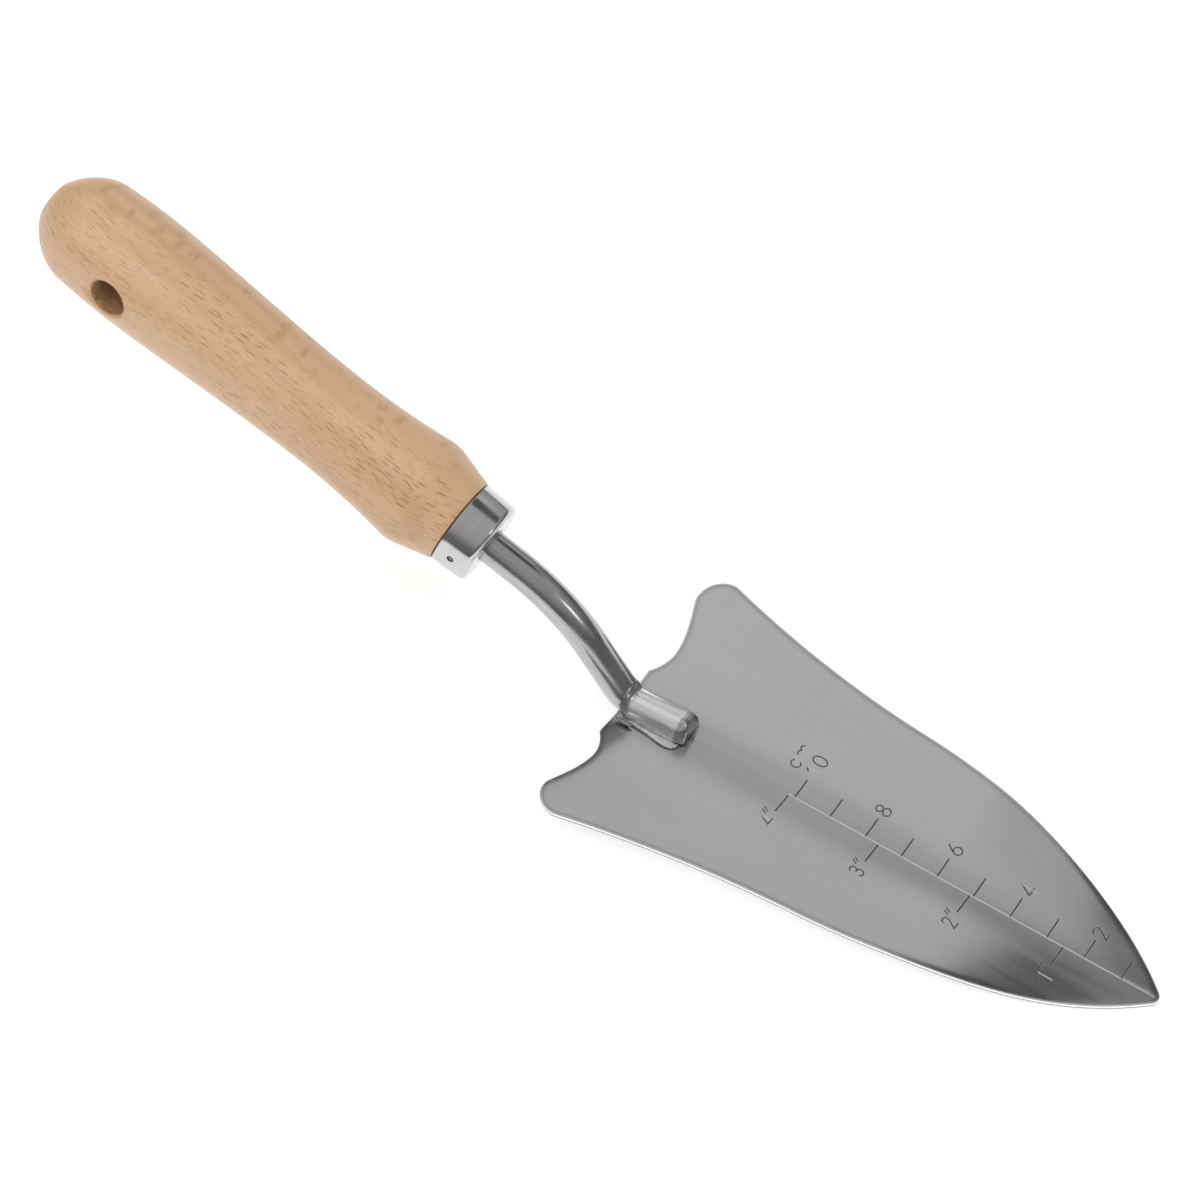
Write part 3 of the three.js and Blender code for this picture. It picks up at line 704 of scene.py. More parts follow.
@dataclass
class Blade:
    """The dished sheet with its pressed scale."""

    length: float = 150.2
    half: float = 40.6
    tab_half: float = 10.9
    setback: float = 0.6
    scallop: float = 3.8
    scallop_half: float = 18.4
    lobe_round: float = 7.2
    waist_at: float = 82.4
    waist_half: float = 30.3
    waist_slope: float = 0.067
    dish_slope: float = 0.245
    corner: float = 0.2
    land: float = 0.55
    ease: float = 2.0
    ease_drop: float = 0.10
    under_corner: float = 0.3
    stroke: float = 0.40
    depth: float = 0.13
    grid: float = 1.5
    dish_start: float = 6.0
    dish_full: float = 62.0
    crease: float = 1.2
    crease_opens: float = 8.8
    crease_fade: float = 90.0
    point_sweep: tuple[float, float] = (-22.6, 21.2)
    point_round: tuple[float, float] = (-1.0, 1.9)
    scale_end: float = 101.9
    centimetre: float = 10.0
    inch: float = 25.4
    cm_tick: float = 5.75
    inch_tick: float = 6.05
    scale_back: float = 109.0
    scale_side: float = 15.0
    rim_rows: tuple[float, ...] = (0.02, 0.07, 0.16, 0.29, 0.5, 0.9, 1.4, 2.1)
    # strength of the painted highlight along the rim
    rim_shine: float = 0.85
    marks: tuple[Mark, ...] = (
        Mark(Glyph.SMALL_C, -104.75, 7.95), Mark(Glyph.SMALL_M, -104.7, 11.75),
        Mark(Glyph.ONE, -99.95, 8.35), Mark(Glyph.ZERO, -99.95, 11.6),
        Mark(Glyph.EIGHT, -80.0, 8.4), Mark(Glyph.SIX, -60.0, 8.4),
        Mark(Glyph.FOUR, -39.8, 8.5), Mark(Glyph.TWO, -19.9, 8.1),
        Mark(Glyph.FOUR, -101.7, -9.7, 3.7), Mark(Glyph.INCH, -103.8, -7.3, 3.7),
        Mark(Glyph.THREE, -76.3, -9.95, 3.7), Mark(Glyph.INCH, -78.2, -7.3, 3.7),
        Mark(Glyph.TWO, -50.75, -9.9, 3.7), Mark(Glyph.INCH, -52.8, -7.35, 3.7),
        Mark(Glyph.ONE, -25.0, -10.0, 3.7), Mark(Glyph.INCH, -27.4, -7.5, 3.7),
    )
    segments: list[tuple[Points, Points, float]] = field(default_factory=list)

    def height(self, p: Points) -> np.ndarray:
        """Height of the inner face above the valley line, without the marks."""
        back = -p[:, 0]
        slope = self.dish_slope * smooth(back, self.dish_start, self.dish_full)
        round_ = self.crease + self.crease_opens * smooth(back, 0, self.crease_fade)
        return slope * (np.hypot(p[:, 1], round_) - round_)

    def half_outline(self, side: int) -> Points:
        """Half the outline, from the middle of the rear edge to just before the tip."""
        back = -self.length
        tab = back + self.setback
        hollow = back + self.scallop
        wide = back + self.lobe_round
        rear = self.half - self.lobe_round
        turn = 0.55 * self.lobe_round
        inward = 0.45 * (self.scallop_half - self.tab_half)
        outward = 0.44 * (rear - self.scallop_half)
        on = 0.33 * self.waist_at
        behind = 0.56 * (-wide - self.waist_at)
        runs = [
            ((tab, 0), (tab, self.tab_half / 3), (tab, self.tab_half * 2 / 3), (tab, self.tab_half), 16),
            ((tab, self.tab_half), (tab + 1.3, self.tab_half + 1.5), (hollow, self.scallop_half - inward),
             (hollow, self.scallop_half), 16),
            ((hollow, self.scallop_half), (hollow, self.scallop_half + outward), (back, rear - 2), (back, rear), 24),
            ((back, rear), (back, rear + turn), (wide - turn, self.half), (wide, self.half), 20),
            ((wide, self.half), (wide + 0.9, self.half),
             (-self.waist_at - behind, self.waist_half + self.waist_slope * behind),
             (-self.waist_at, self.waist_half), 80),
            ((-self.waist_at, self.waist_half), (-self.waist_at + on, self.waist_half - self.waist_slope * on),
             self.point_sweep, self.point_round, 110),
            (self.point_round, (-0.3, 1.3), (0, 0.8), (0, 0), 8),
        ]
        p = np.vstack([bezier(*run) for run in runs])
        return p * np.array([1, side])

    def outline(self) -> Points:
        """The whole outline, anticlockwise seen from above."""
        far = self.half_outline(1)
        near = self.half_outline(-1)
        loop = np.vstack([far, [[0.0, 0.0]], near[1:][::-1]])
        return loop[::-1]

    def strokes(self) -> list[tuple[Points, float]]:
        """The scale's lines with their widths, in blade millimetres."""
        lines: list[tuple[Points, float]] = []
        lines.append((np.array([[-self.scale_end, 0.0], [-self.centimetre, 0.0]]), self.stroke))
        lines.append((np.array([[-self.centimetre, 0.0], [-1.2, 0.0]]), self.stroke * 0.55))
        for count, step, tick in ((10, self.centimetre, self.cm_tick), (4, self.inch, -self.inch_tick)):
            for i in range(1, count + 1):
                lines.append((np.array([[-step * i, 0.0], [-step * i, tick]]), self.stroke))
        for mark in self.marks:
            for line in mark.lines():
                lines.append((line, self.stroke * 0.85))
        return lines

    def near_scale(self, p: Points) -> np.ndarray:
        """Which points lie in the part of the sheet that carries the scale."""
        return (np.abs(p[:, 1]) < self.scale_side) & (p[:, 0] > -self.scale_back)

    def marked(self, p: Points) -> np.ndarray:
        """How deep the scale's grooves are at each point."""
        deep = np.zeros(len(p))
        near = self.near_scale(p)
        q = p[near]
        found = np.zeros(len(q))
        for a, b, wide in self.segments:
            gap, _ = to_segments(q, a, b)
            u = np.clip(gap / (wide / 2), 0, 1)
            found = np.maximum(found, self.depth * (wide / self.stroke) * (1 - u) ** 0.9)
        deep[near] = found
        return deep

    def groove_light_and_shade(self, p: Points) -> tuple[np.ndarray, np.ndarray]:
        """Where the grooves get painted shade and where they get a painted highlight, by the way they run.

        Args:
            p: plan points.

        Returns:
            Painted shade in the strokes that run across the brushing, and painted highlight in those along it, 0 to
            1.
        """
        dark, bright = np.zeros(len(p)), np.zeros(len(p))
        near = np.flatnonzero(self.near_scale(p))
        for a, b, wide in self.segments:
            gap, which = to_segments(p[near], a, b)
            run = (b - a)[which]
            reach = np.linalg.norm(run, axis=1)
            across = np.where(reach < 1.5, 1.0, np.abs(run[:, 1]) / reach)
            inside = 1 - smooth(gap / wide, 0.26, 0.46)
            dark[near] = np.maximum(dark[near], inside * smooth(across, 0.03, 0.2))
            bright[near] = np.maximum(bright[near], inside * (1 - smooth(across, 0.02, 0.12)))
        return np.where(bright > 0.9, 0, dark), bright

    def edge_drop(self, d: np.ndarray, corner: float) -> np.ndarray:
        """How far the face falls towards the cut edge, at a distance in from it."""
        inside = np.clip(d, 0.012 * corner, corner)
        rounded = corner - np.sqrt(np.maximum(corner**2 - (corner - inside) ** 2, 0))
        eased = self.ease_drop * (1 - np.clip(d / self.ease, 0, 1)) ** 2
        return rounded + eased

    def make(self) -> bpy.types.Object:
        """Builds the sheet: a meshed plan lifted to both faces, with the rim between them."""
        loop = self.outline()
        self.segments = [(line[:-1], line[1:], wide) for line, wide in self.strokes()]
        plan = self.plan_points(loop)
        n = len(loop)
        edges = [(i, (i + 1) % n) for i in range(n)]
        flat, _, faces, *_ = delaunay_2d_cdt([Vector(p) for p in plan], edges, [], 1, 1e-5)
        p = np.array([(v.x, v.y) for v in flat])
        tri = np.array([f for f in faces if len(f) == 3])
        a, b, c = (p[tri[:, k]] for k in range(3))
        turned = (b[:, 0] - a[:, 0]) * (c[:, 1] - a[:, 1]) - (b[:, 1] - a[:, 1]) * (c[:, 0] - a[:, 0])
        tri[turned < 0] = tri[turned < 0][:, ::-1]
        top, top_normal = self.face(p, loop, True)
        under, under_normal = self.face(p, loop, False)
        count = len(p)
        edge = np.flatnonzero(to_outline(p, loop) < ON_LINE)
        land = {int(i): 2 * count + k for k, i in enumerate(edge)}
        verts = np.vstack([np.column_stack([p, top]), np.column_stack([p, under]),
                           np.column_stack([p[edge], top[edge] - self.land])])
        normals = np.vstack([top_normal, under_normal, top_normal[edge] * [1, 1, 0]])
        sides = dict.fromkeys((int(f[i]), int(f[(i + 1) % 3])) for f in tri for i in range(3))
        rim = [(i, j) for i, j in sides if (j, i) not in sides]
        all_faces = [tuple(f) for f in tri] + [tuple(f[::-1] + count) for f in tri]
        all_faces += [(i, land[i], land[j], j) for i, j in rim]
        all_faces += [(land[i], i + count, j + count, land[j]) for i, j in rim]
        obj = build_mesh("blade_sheet", BENCH.to_row(verts), all_faces, normals)
        obj.data.materials.append(BrushedSheet().make())
        obj.data.materials.append(CutEdge().make())
        # the lower part of the rim gets the dark cut-edge finish, which is painted shade
        for polygon in obj.data.polygons[2 * len(tri) + len(rim):]:
            polygon.material_index = 1
        self.paint(obj.data, p, loop, edge)
        return settle(obj, ["blade"])

    def paint(self, mesh: bpy.types.Mesh, p: Points, loop: Points, edge: np.ndarray) -> None:
        """Paints the painted shade along the edge, the painted shade in the grooves across the brushing and the
        painted highlight on the rim and the grooves along it, on the points.

        Args:
            mesh: the sheet's mesh: upper points, under points, then the land's.
            p: plan points.
            loop: the outline.
            edge: which plan points lie on the outline.
        """
        gap = to_outline(p, loop)
        dark, bright = self.groove_light_and_shade(p)
        # painted highlight along the outline, where the rim catches the light
        bright = np.maximum(bright, self.rim_shine * (1 - smooth(gap, 0.28, 0.5)))
        none, land = np.zeros(len(p)), np.ones(len(edge))
        for name, upper, under, below in (
            ("painted_edge_shade", 1 - smooth(gap, 0.9, 1.6), none, 0 * land),
            ("painted_groove_shade", dark, none, 0 * land),
            ("painted_highlight", bright, none, land),
        ):
            layer = mesh.attributes.new(name, "FLOAT", "POINT")
            layer.data.foreach_set("value", np.concatenate([upper, under, below]))

    def plan_points(self, loop: Points) -> Points:
        """Points to mesh in the plane: the outline, rows inside it, the strokes and a grid."""
        tangent = np.roll(loop, -1, 0) - np.roll(loop, 1, 0)
        inward = np.column_stack([-tangent[:, 1], tangent[:, 0]])
        inward /= np.linalg.norm(inward, axis=1)[:, None]
        sets = [loop]
        for d in self.rim_rows:
            row = loop + inward * d
            sets.append(row[to_outline(row, loop) > d * 0.93])
        lines = []
        for line, wide in self.strokes():
            for a, b in zip(line[:-1], line[1:], strict=True):
                run = b - a
                steps = max(2, int(np.linalg.norm(run) / 0.33))
                side = np.array([-run[1], run[0]]) / np.linalg.norm(run)
                for t in np.linspace(0, 1, steps + 1):
                    for off in (-0.66, -0.48, -0.24, 0.0, 0.24, 0.48, 0.66):
                        lines.append(a + run * t + side * off * wide)
            for end in line:
                for turn in np.linspace(0, 2 * math.pi, 10, endpoint=False):
                    way = np.array([math.cos(turn), math.sin(turn)])
                    lines.extend((end + way * 0.48 * wide, end + way * 0.68 * wide))
        sets.append(self.thinned(np.array(lines), 0.06))
        crease = np.array([(x, y) for x in np.arange(-45, -0.8, 0.8) for y in (-1.6, -1.0, -0.5, 0.5, 1.0, 1.6)])
        xs = np.arange(-self.length, 0, self.grid)
        ys = np.arange(-self.half, self.half + 0.1, self.grid)
        gx, gy = np.meshgrid(xs, ys)
        gx = gx + (np.arange(len(ys)) % 2)[:, None] * self.grid / 2
        fine = np.array([(x, y) for x in np.arange(-108, -4, 0.55) for y in np.arange(-13, 14, 0.55)])
        inner = np.vstack([np.column_stack([gx.ravel(), gy.ravel()]), crease, fine])
        inner = inner[(to_outline(inner, loop) > 2.4) & self.inside(inner, loop)]
        drawn = sets[-1]
        far = np.ones(len(inner), bool)
        for i in np.flatnonzero(self.near_scale(inner)):
            far[i] = np.min(np.hypot(*(drawn - inner[i]).T)) > 0.2
        inner = inner[far]
        keep = [sets[0]] + [s[self.inside(s, loop)] for s in sets[1:]]
        return np.vstack([*keep, inner])

    @staticmethod
    def thinned(p: Points, cell: float) -> Points:
        """One point of each small square."""
        _, first = np.unique(np.round(p / cell).astype(int), axis=0, return_index=True)
        return p[np.sort(first)]

    @staticmethod
    def inside(p: Points, loop: Points) -> np.ndarray:
        """Which points lie inside a closed line."""
        x, y = p[:, 0][:, None], p[:, 1][:, None]
        ax, ay = loop[:, 0][None, :], loop[:, 1][None, :]
        bx, by = np.roll(loop[:, 0], -1)[None, :], np.roll(loop[:, 1], -1)[None, :]
        crosses = (ay > y) != (by > y)
        at = ax + (y - ay) / np.where(by == ay, 1e-12, by - ay) * (bx - ax)
        return (crosses & (x < at)).sum(1) % 2 == 1

    def level(self, p: Points, loop: Points, upper: bool) -> np.ndarray:
        """Height of the upper or the under face at each point, with the edge round and the marks."""
        d = to_outline(p, loop)
        d = np.where(self.inside(p, loop), d, 0.0)
        z = self.height(p)
        if upper:
            return z - self.edge_drop(d, self.corner) - self.marked(p)
        e = 0.05
        sx = (self.height(p + [e, 0]) - self.height(p - [e, 0])) / (2 * e)
        sy = (self.height(p + [0, e]) - self.height(p - [0, e])) / (2 * e)
        return z - SHEET * np.sqrt(1 + sx**2 + sy**2) + self.edge_drop(d, self.under_corner) * 0.9

    def face(self, p: Points, loop: Points, upper: bool) -> tuple[np.ndarray, Points]:
        """One face's heights and directions.

        Args:
            p: plan points.
            loop: the outline.
            upper: whether this is the inner, upper face.

        Returns:
            The heights, and a direction for each point.
        """
        z = self.level(p, loop, upper)
        e = 0.03
        dx = (self.level(p + [e, 0], loop, upper) - self.level(p - [e, 0], loop, upper)) / (2 * e)
        dy = (self.level(p + [0, e], loop, upper) - self.level(p - [0, e], loop, upper)) / (2 * e)
        n = np.column_stack([-dx, -dy, np.ones(len(p))])
        edge = to_outline(p, loop) < ON_LINE
        tangent = np.roll(loop, -1, 0) - np.roll(loop, 1, 0)
        out = np.column_stack([tangent[:, 1], -tangent[:, 0]])
        out /= np.linalg.norm(out, axis=1)[:, None]
        nearest = np.array([np.argmin(np.hypot(*(loop - q).T)) for q in p[edge]])
        n[edge] = np.column_stack([out[nearest] * 6.0, np.ones(edge.sum())])
        n /= np.linalg.norm(n, axis=1)[:, None]
        if not upper:
            n = -n
            n[edge] = np.column_stack([out[nearest], np.full(edge.sum(), -0.2)])
        return z, n


# ---------------------------------------------------------------- neck


@dataclass
class Neck:
    """The cranked bar, its tang and its pressed foot."""

    radius: float = 4.3
    steep: float = 52.4
    tilt: float = 18.8
    leg: float = 29.6
    reach: float = 22.5
    crank_radius: float = 45.0
    heel_radius: float = 5.2
    tang: float = 45.0
    ferrule: float = 9.6
    foot: float = 19.0
    foot_half: float = 4.6
    crown: float = 5.9
    sole: float = 0.25
    yaw: float = 3.7
    toe: float = 2.7
    sides: int = 64

    def __post_init__(self) -> None:
        """Works out the corners."""
        a, b = math.radians(self.steep), math.radians(self.tilt)
        self.heel = np.array([-149.4, 0.0, self.radius])
        self.up_leg = np.array([-math.cos(a), 0, math.sin(a)])
        self.up_axis = np.array([-math.cos(b), 0, math.sin(b)])
        self.crank = self.heel + self.up_leg * self.leg
        self.front = self.crank + self.up_axis * self.reach
        self.joint = self.front + self.up_axis * self.ferrule
        self.end = self.joint + self.up_axis * self.tang

    def corner(self, before: Points, at: Points, after: Points, radius: float, steps: int) -> list[Points]:
        """Points round a corner between two straight runs."""
        back, on = unit(before - at), unit(after - at)
        half = math.acos(float(np.clip(back @ on, -1, 1))) / 2
        centre = at + unit(back + on) * radius / math.sin(half)
        start = at + back * radius / math.tan(half)
        finish = at + on * radius / math.tan(half)
        u, v = start - centre, finish - centre
        total = math.acos(float(np.clip(u @ v / radius**2, -1, 1)))
        made = []
        for t in np.linspace(0, 1, steps):
            made.append(centre + (math.sin((1 - t) * total) * u + math.sin(t * total) * v) / math.sin(total))
        return made

    def line(self) -> Points:
        """The centre line from the tang's end to the toe."""
        ahead = self.heel + np.array([self.foot, 0, 0])
        upper = self.corner(self.end, self.crank, self.heel, self.crank_radius, 36)
        lower = self.corner(self.crank, self.heel, ahead, self.heel_radius, 22)
        straight = [self.end + (upper[0] - self.end) * t for t in np.linspace(0, 1, 60, endpoint=False)]
        leg = [upper[-1] + (lower[0] - upper[-1]) * t for t in np.linspace(0, 1, 24, endpoint=False)][1:]
        toe = [lower[-1] + (ahead - lower[-1]) * t for t in np.sin(np.linspace(0, 1, 64) * math.pi / 2)][1:]
        return np.array([*straight, *upper, *leg, *lower, *toe])

    def ring(self, at: Points, along: Points, turn: np.ndarray) -> Points:
        """One section: round on the bar, low and crowned on the foot, drawn in at the toe."""
        side = np.array([0.0, 1.0, 0.0])
        up = np.cross(along, side)
        if up[2] < 0:
            up = -up
        c, s = np.cos(turn), np.sin(turn)
        round_ring = at + self.radius * (c[:, None] * side + s[:, None] * up)
        ahead = at[0] - self.heel[0]
        pressed = float(smooth(ahead, 0.6, 3.4)) if along[2] > -0.35 else 0.0
        if pressed <= 0:
            return round_ring
        left = self.foot - ahead
        closing = math.sqrt(max(1 - (1 - min(left / self.toe, 1)) ** 2.4, 0.0))
        wide = self.foot_half * mix(0.64, 1.0, closing)
        tall = self.sole + 0.9 + (self.crown - self.sole - 0.9) * mix(0.42, 1.0, closing**0.8)
        spring = self.sole + 0.9
        y = wide * np.sign(c) * np.abs(c) ** mix(1.0, np.where(s >= 0, 0.97, 0.6), pressed)
        above, below = spring + (tall - spring) * np.abs(s), spring - (spring - self.sole) * np.abs(s) ** 0.45
        z = np.where(s >= 0, above, below)
        low = np.column_stack([np.full(len(turn), at[0]), y, z])
        return round_ring * (1 - pressed) + low * pressed

    def make(self) -> bpy.types.Object:
        """Builds the bar from the tang to the toe as one skin."""
        line = self.line()
        along = np.gradient(line, axis=0)
        turn = np.linspace(0, 2 * math.pi, self.sides, endpoint=False)
        rings = [self.ring(p, unit(a), turn) for p, a in zip(line, along, strict=True)]
        verts, faces = skin(rings)
        verts = self.dimple(self.askew(verts))
        obj = build_mesh("neck_bar", BENCH.to_row(verts), [f[::-1] for f in faces])
        finish = Polished("polished_bar", 0.50, 0.20, (60, 2400, 60), 0.0016, marks=0.003, dull=0.68, foot_highlight=0.97)
        obj.data.materials.append(finish.make())
        # mask of the painted highlight: the low foot, taken down near the toe as painted shade
        layer = obj.data.attributes.new("foot_highlight", "FLOAT", "POINT")
        ahead = verts[:, 0] - self.heel[0]
        layer.data.foreach_set("value", smooth(ahead, 1.6, 4.2) * smooth(-verts[:, 2], -8.5, -7.0)
                               * (1 - 0.8 * smooth(ahead, self.foot - 2.9, self.foot - 2.2)))
        return settle(obj, ["neck_rod"])

    def askew(self, p: Points) -> Points:
        """Turns the foot a little towards +Y about the heel."""
        ahead = p[:, 0] - self.heel[0]
        low = smooth(14.0 - p[:, 2], 2.0, 7.0)
        share = smooth(ahead, -1.0, 5.0) * low
        turn = math.radians(self.yaw) * share
        q = p.copy()
        q[:, 0] = self.heel[0] + ahead * np.cos(turn) - p[:, 1] * np.sin(turn)
        q[:, 1] = ahead * np.sin(turn) + p[:, 1] * np.cos(turn)
        return q

    def dimple(self, p: Points) -> Points:
        """Dents the toe and the crown where the press and the electrode bore on them."""
        ahead = p[:, 0] - self.heel[0]
        at_toe = smooth(ahead, self.foot - 5.0, self.foot - 1.5) * (p[:, 2] < 8)
        on_crown = smooth(ahead, 1.0, 4.0) * (p[:, 2] < 8)
        q = p.copy()
        lift = wobble(p, 4.2, 4) * 0.22 * at_toe + wobble(p, 7.0, 9) * 0.04 * on_crown
        q[:, 2] += np.where(p[:, 2] > self.sole + 0.8, lift, 0)
        q[:, 0] += wobble(p, 3.6, 11) * 0.16 * at_toe
        return q


class Side(Enum):
    """The two sides of the foot."""

    LEFT = -1
    RIGHT = 1


@dataclass
class WeldLip:
    """Weld metal squeezed out along one side of the foot."""

    side: Side
    node: str
    near_heel: float
    near_toe: float
    start: float = -148.6
    end: float = -131.6
    inner: float = 4.55
    lift: float = 0.3
    thick: float = 0.85
    seed: int = 1

    def make(self, neck: Neck) -> bpy.types.Object:
        """Builds the lip as a ribbon with a rounded, uneven outer edge."""
        along = np.linspace(0, 1, 70)
        rings = []
        for t in along:
            x = mix(self.start, self.end, t)
            ends = math.sqrt(max(0.0, 1 - (2 * t - 1) ** 8))
            wide = mix(self.near_heel, self.near_toe, float(smooth(t, 0, 1))) * max(ends, 0.06)
            bulge = 1 + 0.07 * float(wobble(np.array([[x, 0.0, 0.0]]), 7.5, self.seed)[0])
            wide *= bulge
            ring = []
            for a in np.linspace(0, 2 * math.pi, 20, endpoint=False):
                across = 0.5 + 0.5 * math.copysign(abs(math.cos(a)) ** 0.75, math.cos(a))
                hump = math.copysign(abs(math.sin(a)) ** 0.8, math.sin(a)) * 0.5 * self.thick
                hump *= 1.15 - 0.45 * across
                y = (self.inner + wide * across) * self.side.value
                ring.append((x, y, self.lift + self.thick / 2 + hump * max(ends, 0.15)))
            rings.append(np.array(ring))
        verts, faces = skin(rings)
        verts[:, 2] += 0.035 * wobble(verts, 4.5, self.seed + 5)
        verts = neck.askew(verts)
        flipped = faces if self.side is Side.LEFT else [f[::-1] for f in faces]
        obj = build_mesh(self.node + "_metal", BENCH.to_row(verts), flipped)
        obj.data.materials.append(WeldMetal().make())
        return settle(obj, [self.node])


@dataclass
class HeelBead:
    """The puckered lump where the heel meets the rear edge."""

    length: float = 2.5
    half: float = 0.75
    tall: float = 0.62

    def make(self, neck: Neck) -> bpy.types.Object:
        """Builds the bead as a creased, lumpy closed skin."""
        rings = []
        for t in np.linspace(0.02, 0.98, 34):
            r = math.sin(math.pi * t) ** 0.6
            turn = np.linspace(0, 2 * math.pi, 30, endpoint=False)
            x = -146.4 + (t - 0.5) * 2 * self.length
            y = -(neck.foot_half + 0.35 + self.half) + self.half * r * np.cos(turn)
            z = 0.7 + self.tall * (1 + r * np.sin(turn))
            rings.append(np.column_stack([np.full(30, x), y, z]))
        verts, faces = skin(rings)
        verts = neck.askew(verts)
        folds = wobble(verts, 1.9, 3)[:, None]
        middle = verts.mean(axis=0)
        verts = verts + (verts - middle) * folds * np.array([0.05, 0.14, 0.14])
        obj = build_mesh("weld_heel_lump", BENCH.to_row(verts), faces)
        obj.data.materials.append(WeldMetal("heel_weld", 0.6).make())
        return settle(obj, ["weld_heel_bead"])


# ---------------------------------------------------------------- ferrule, pin and handle


def turned(name: str, section: Sequence[tuple[float, float]], sides: int, place: Matrix) -> bpy.types.Object:
    """Turns a closed half section about local Z.

    Args:
        name: the piece's name.
        section: (radius, along) points in millimetres, a closed line.
        sides: how many steps round.
        place: where local Z and its zero lie in the row frame.

    Returns:
        The object, in place.
    """
    turn = np.linspace(0, 2 * math.pi, sides, endpoint=False)
    verts: list[tuple[float, float, float]] = []
    rows: list[list[int]] = []
    for r, s in section:
        if r < 1e-6:
            rows.append([len(verts)] * sides)
            verts.append((0.0, 0.0, s * MM))
            continue
        rows.append(list(range(len(verts), len(verts) + sides)))
        verts.extend((r * math.cos(a) * MM, r * math.sin(a) * MM, s * MM) for a in turn)
    faces = []
    for i in range(len(rows)):
        a, b = rows[i], rows[(i + 1) % len(rows)]
        for j in range(sides):
            k = (j + 1) % sides
            corners = list(dict.fromkeys((a[j], a[k], b[k], b[j])))
            if len(corners) > 2:
                faces.append(tuple(corners))
    obj = build_mesh(name, np.array(verts), faces)
    obj.matrix_world = place
    return obj


@dataclass
class Grip:
    """The handle with its ferrule and pin, turned about one axis."""

    neck: Neck
    ferrule_length: float = 9.6
    ferrule_rear: float = 11.15
    ferrule_front: float = 10.85
    ferrule_edge: float = 1.5
    ferrule_wall: float = 1.2
    hole_play: float = 0.5
    gap: float = 0.3
    length: float = 126.4
    shoulder: float = 11.3
    knuckle_at: float = 11.4
    knuckle: float = 14.45
    waist_at: float = 39.5
    waist: float = 12.5
    belly_at: float = 99.5
    belly: float = 14.68
    butt_round: float = 13.4
    butt_flat: float = 5.4
    bore: float = 5.5
    bore_depth: float = 46.2
    hole: float = 4.7
    hole_from_butt: float = 27.0
    hole_turn: float = 80.0
    pin: float = 0.65
    pin_back: float = 4.6

    def __post_init__(self) -> None:
        """Works out the axes: local X is the top, local Z runs to the butt."""
        z = self.neck.up_axis
        x = np.array([z[2], 0.0, -z[0]])
        y = np.cross(z, x)
        self.place = BENCH.matrix(self.neck.joint, x, y, z)
        side = math.radians(self.hole_turn)
        sign = -1.0 if y[1] > 0 else 1.0
        self.hole_way = np.array([math.cos(side), sign * math.sin(side), 0.0])

    def radius(self, s: float) -> float:
        """The handle's radius at a distance from the ferrule's rear edge."""
        if s < self.knuckle_at:
            return mix(self.shoulder, self.knuckle, s / self.knuckle_at)
        if s < self.waist_at:
            t = (s - self.knuckle_at) / (self.waist_at - self.knuckle_at)
            return mix(self.knuckle, self.waist, 1 - (1 - t) ** 2)
        if s < self.belly_at:
            t = (s - self.waist_at) / (self.belly_at - self.waist_at)
            swell = 0.5 * t + 0.5 * float(smooth(t)) - 0.12 * math.sin(math.pi * t) * (1 - t)
            return mix(self.waist, self.belly, swell)
        start = self.length - self.butt_round
        if s < start:
            return mix(self.belly, self.belly - 0.45, ((s - self.belly_at) / (start - self.belly_at)) ** 2)
        t = min(1.0, (s - start) / self.butt_round)
        return mix(self.butt_flat, self.belly - 0.45, max(0.0, 1 - t * t) ** 0.85)

    def make_ferrule(self) -> bpy.types.Object:
        """Builds the drawn cup with its rounded front edge, rolled rear edge and hole for the bar."""
        front = -self.ferrule_length
        hole = self.neck.radius + self.hole_play
        inner = self.ferrule_front - self.ferrule_wall
        section = [(hole, front + 0.25), (hole + 0.08, front + 0.07), (hole + 0.25, front), (hole + 1.2, front)]
        section += [(self.ferrule_front - self.ferrule_edge * (1 - math.sin(a)),
                     front + self.ferrule_edge * (1 - math.cos(a))) for a in np.linspace(0, math.pi / 2, 14)]
        for t in np.linspace(0.05, 1, 10):
            swell = 0.05 * math.sin(math.pi * t)
            s = mix(front + self.ferrule_edge, -0.55, t)
            section.append((mix(self.ferrule_front, self.ferrule_rear, t) + swell, s))
        section += [(self.ferrule_rear - 0.03, -0.4), (self.ferrule_rear - 0.14, -0.31), (self.ferrule_rear - 0.3, -0.3)]
        section += [(inner, -0.3), (inner, front + self.ferrule_wall), (hole, front + self.ferrule_wall)]
        obj = turned("ferrule_cup", section, 160, self.place)
        finish = Polished("polished_ferrule", 0.60, 0.17, (160, 160, 5200), 0.0008, marks=0.001)
        obj.data.materials.append(finish.make())
        drill = self.pin + 0.25
        cutter = self.crossing("pin_drill", -self.pin_back, [(8.0, drill), (16.0, drill)], 32)
        cutter.data.materials.append(obj.data.materials[0])
        cut_with(obj, cutter)
        sharpen(obj, 40)
        return settle(obj, ["ferrule"])

    def crossing(
        self, name: str, s: float, steps: Sequence[tuple[float, float | Points]], sides: int
    ) -> bpy.types.Object:
        """A round skin that crosses the axis along the hanging hole's direction.

        Args:
            name: the object's name.
            s: where it crosses, from the ferrule's rear edge.
            steps: for each ring, how far out it lies and its radius.
            sides: how many points a ring has.

        Returns:
            The object, in place.
        """
        up = np.array([0, 0, 1.0])
        over = np.cross(self.hole_way, up)
        turn = np.linspace(0, 2 * math.pi, sides, endpoint=False)
        disc = np.cos(turn)[:, None] * over + np.sin(turn)[:, None] * up
        rings = [np.array([0, 0, s]) + self.hole_way * far + np.reshape(r, (-1, 1)) * disc for far, r in steps]
        verts, faces = skin([ring * MM for ring in rings])
        obj = build_mesh(name, verts, faces)
        obj.matrix_world = self.place
        return obj

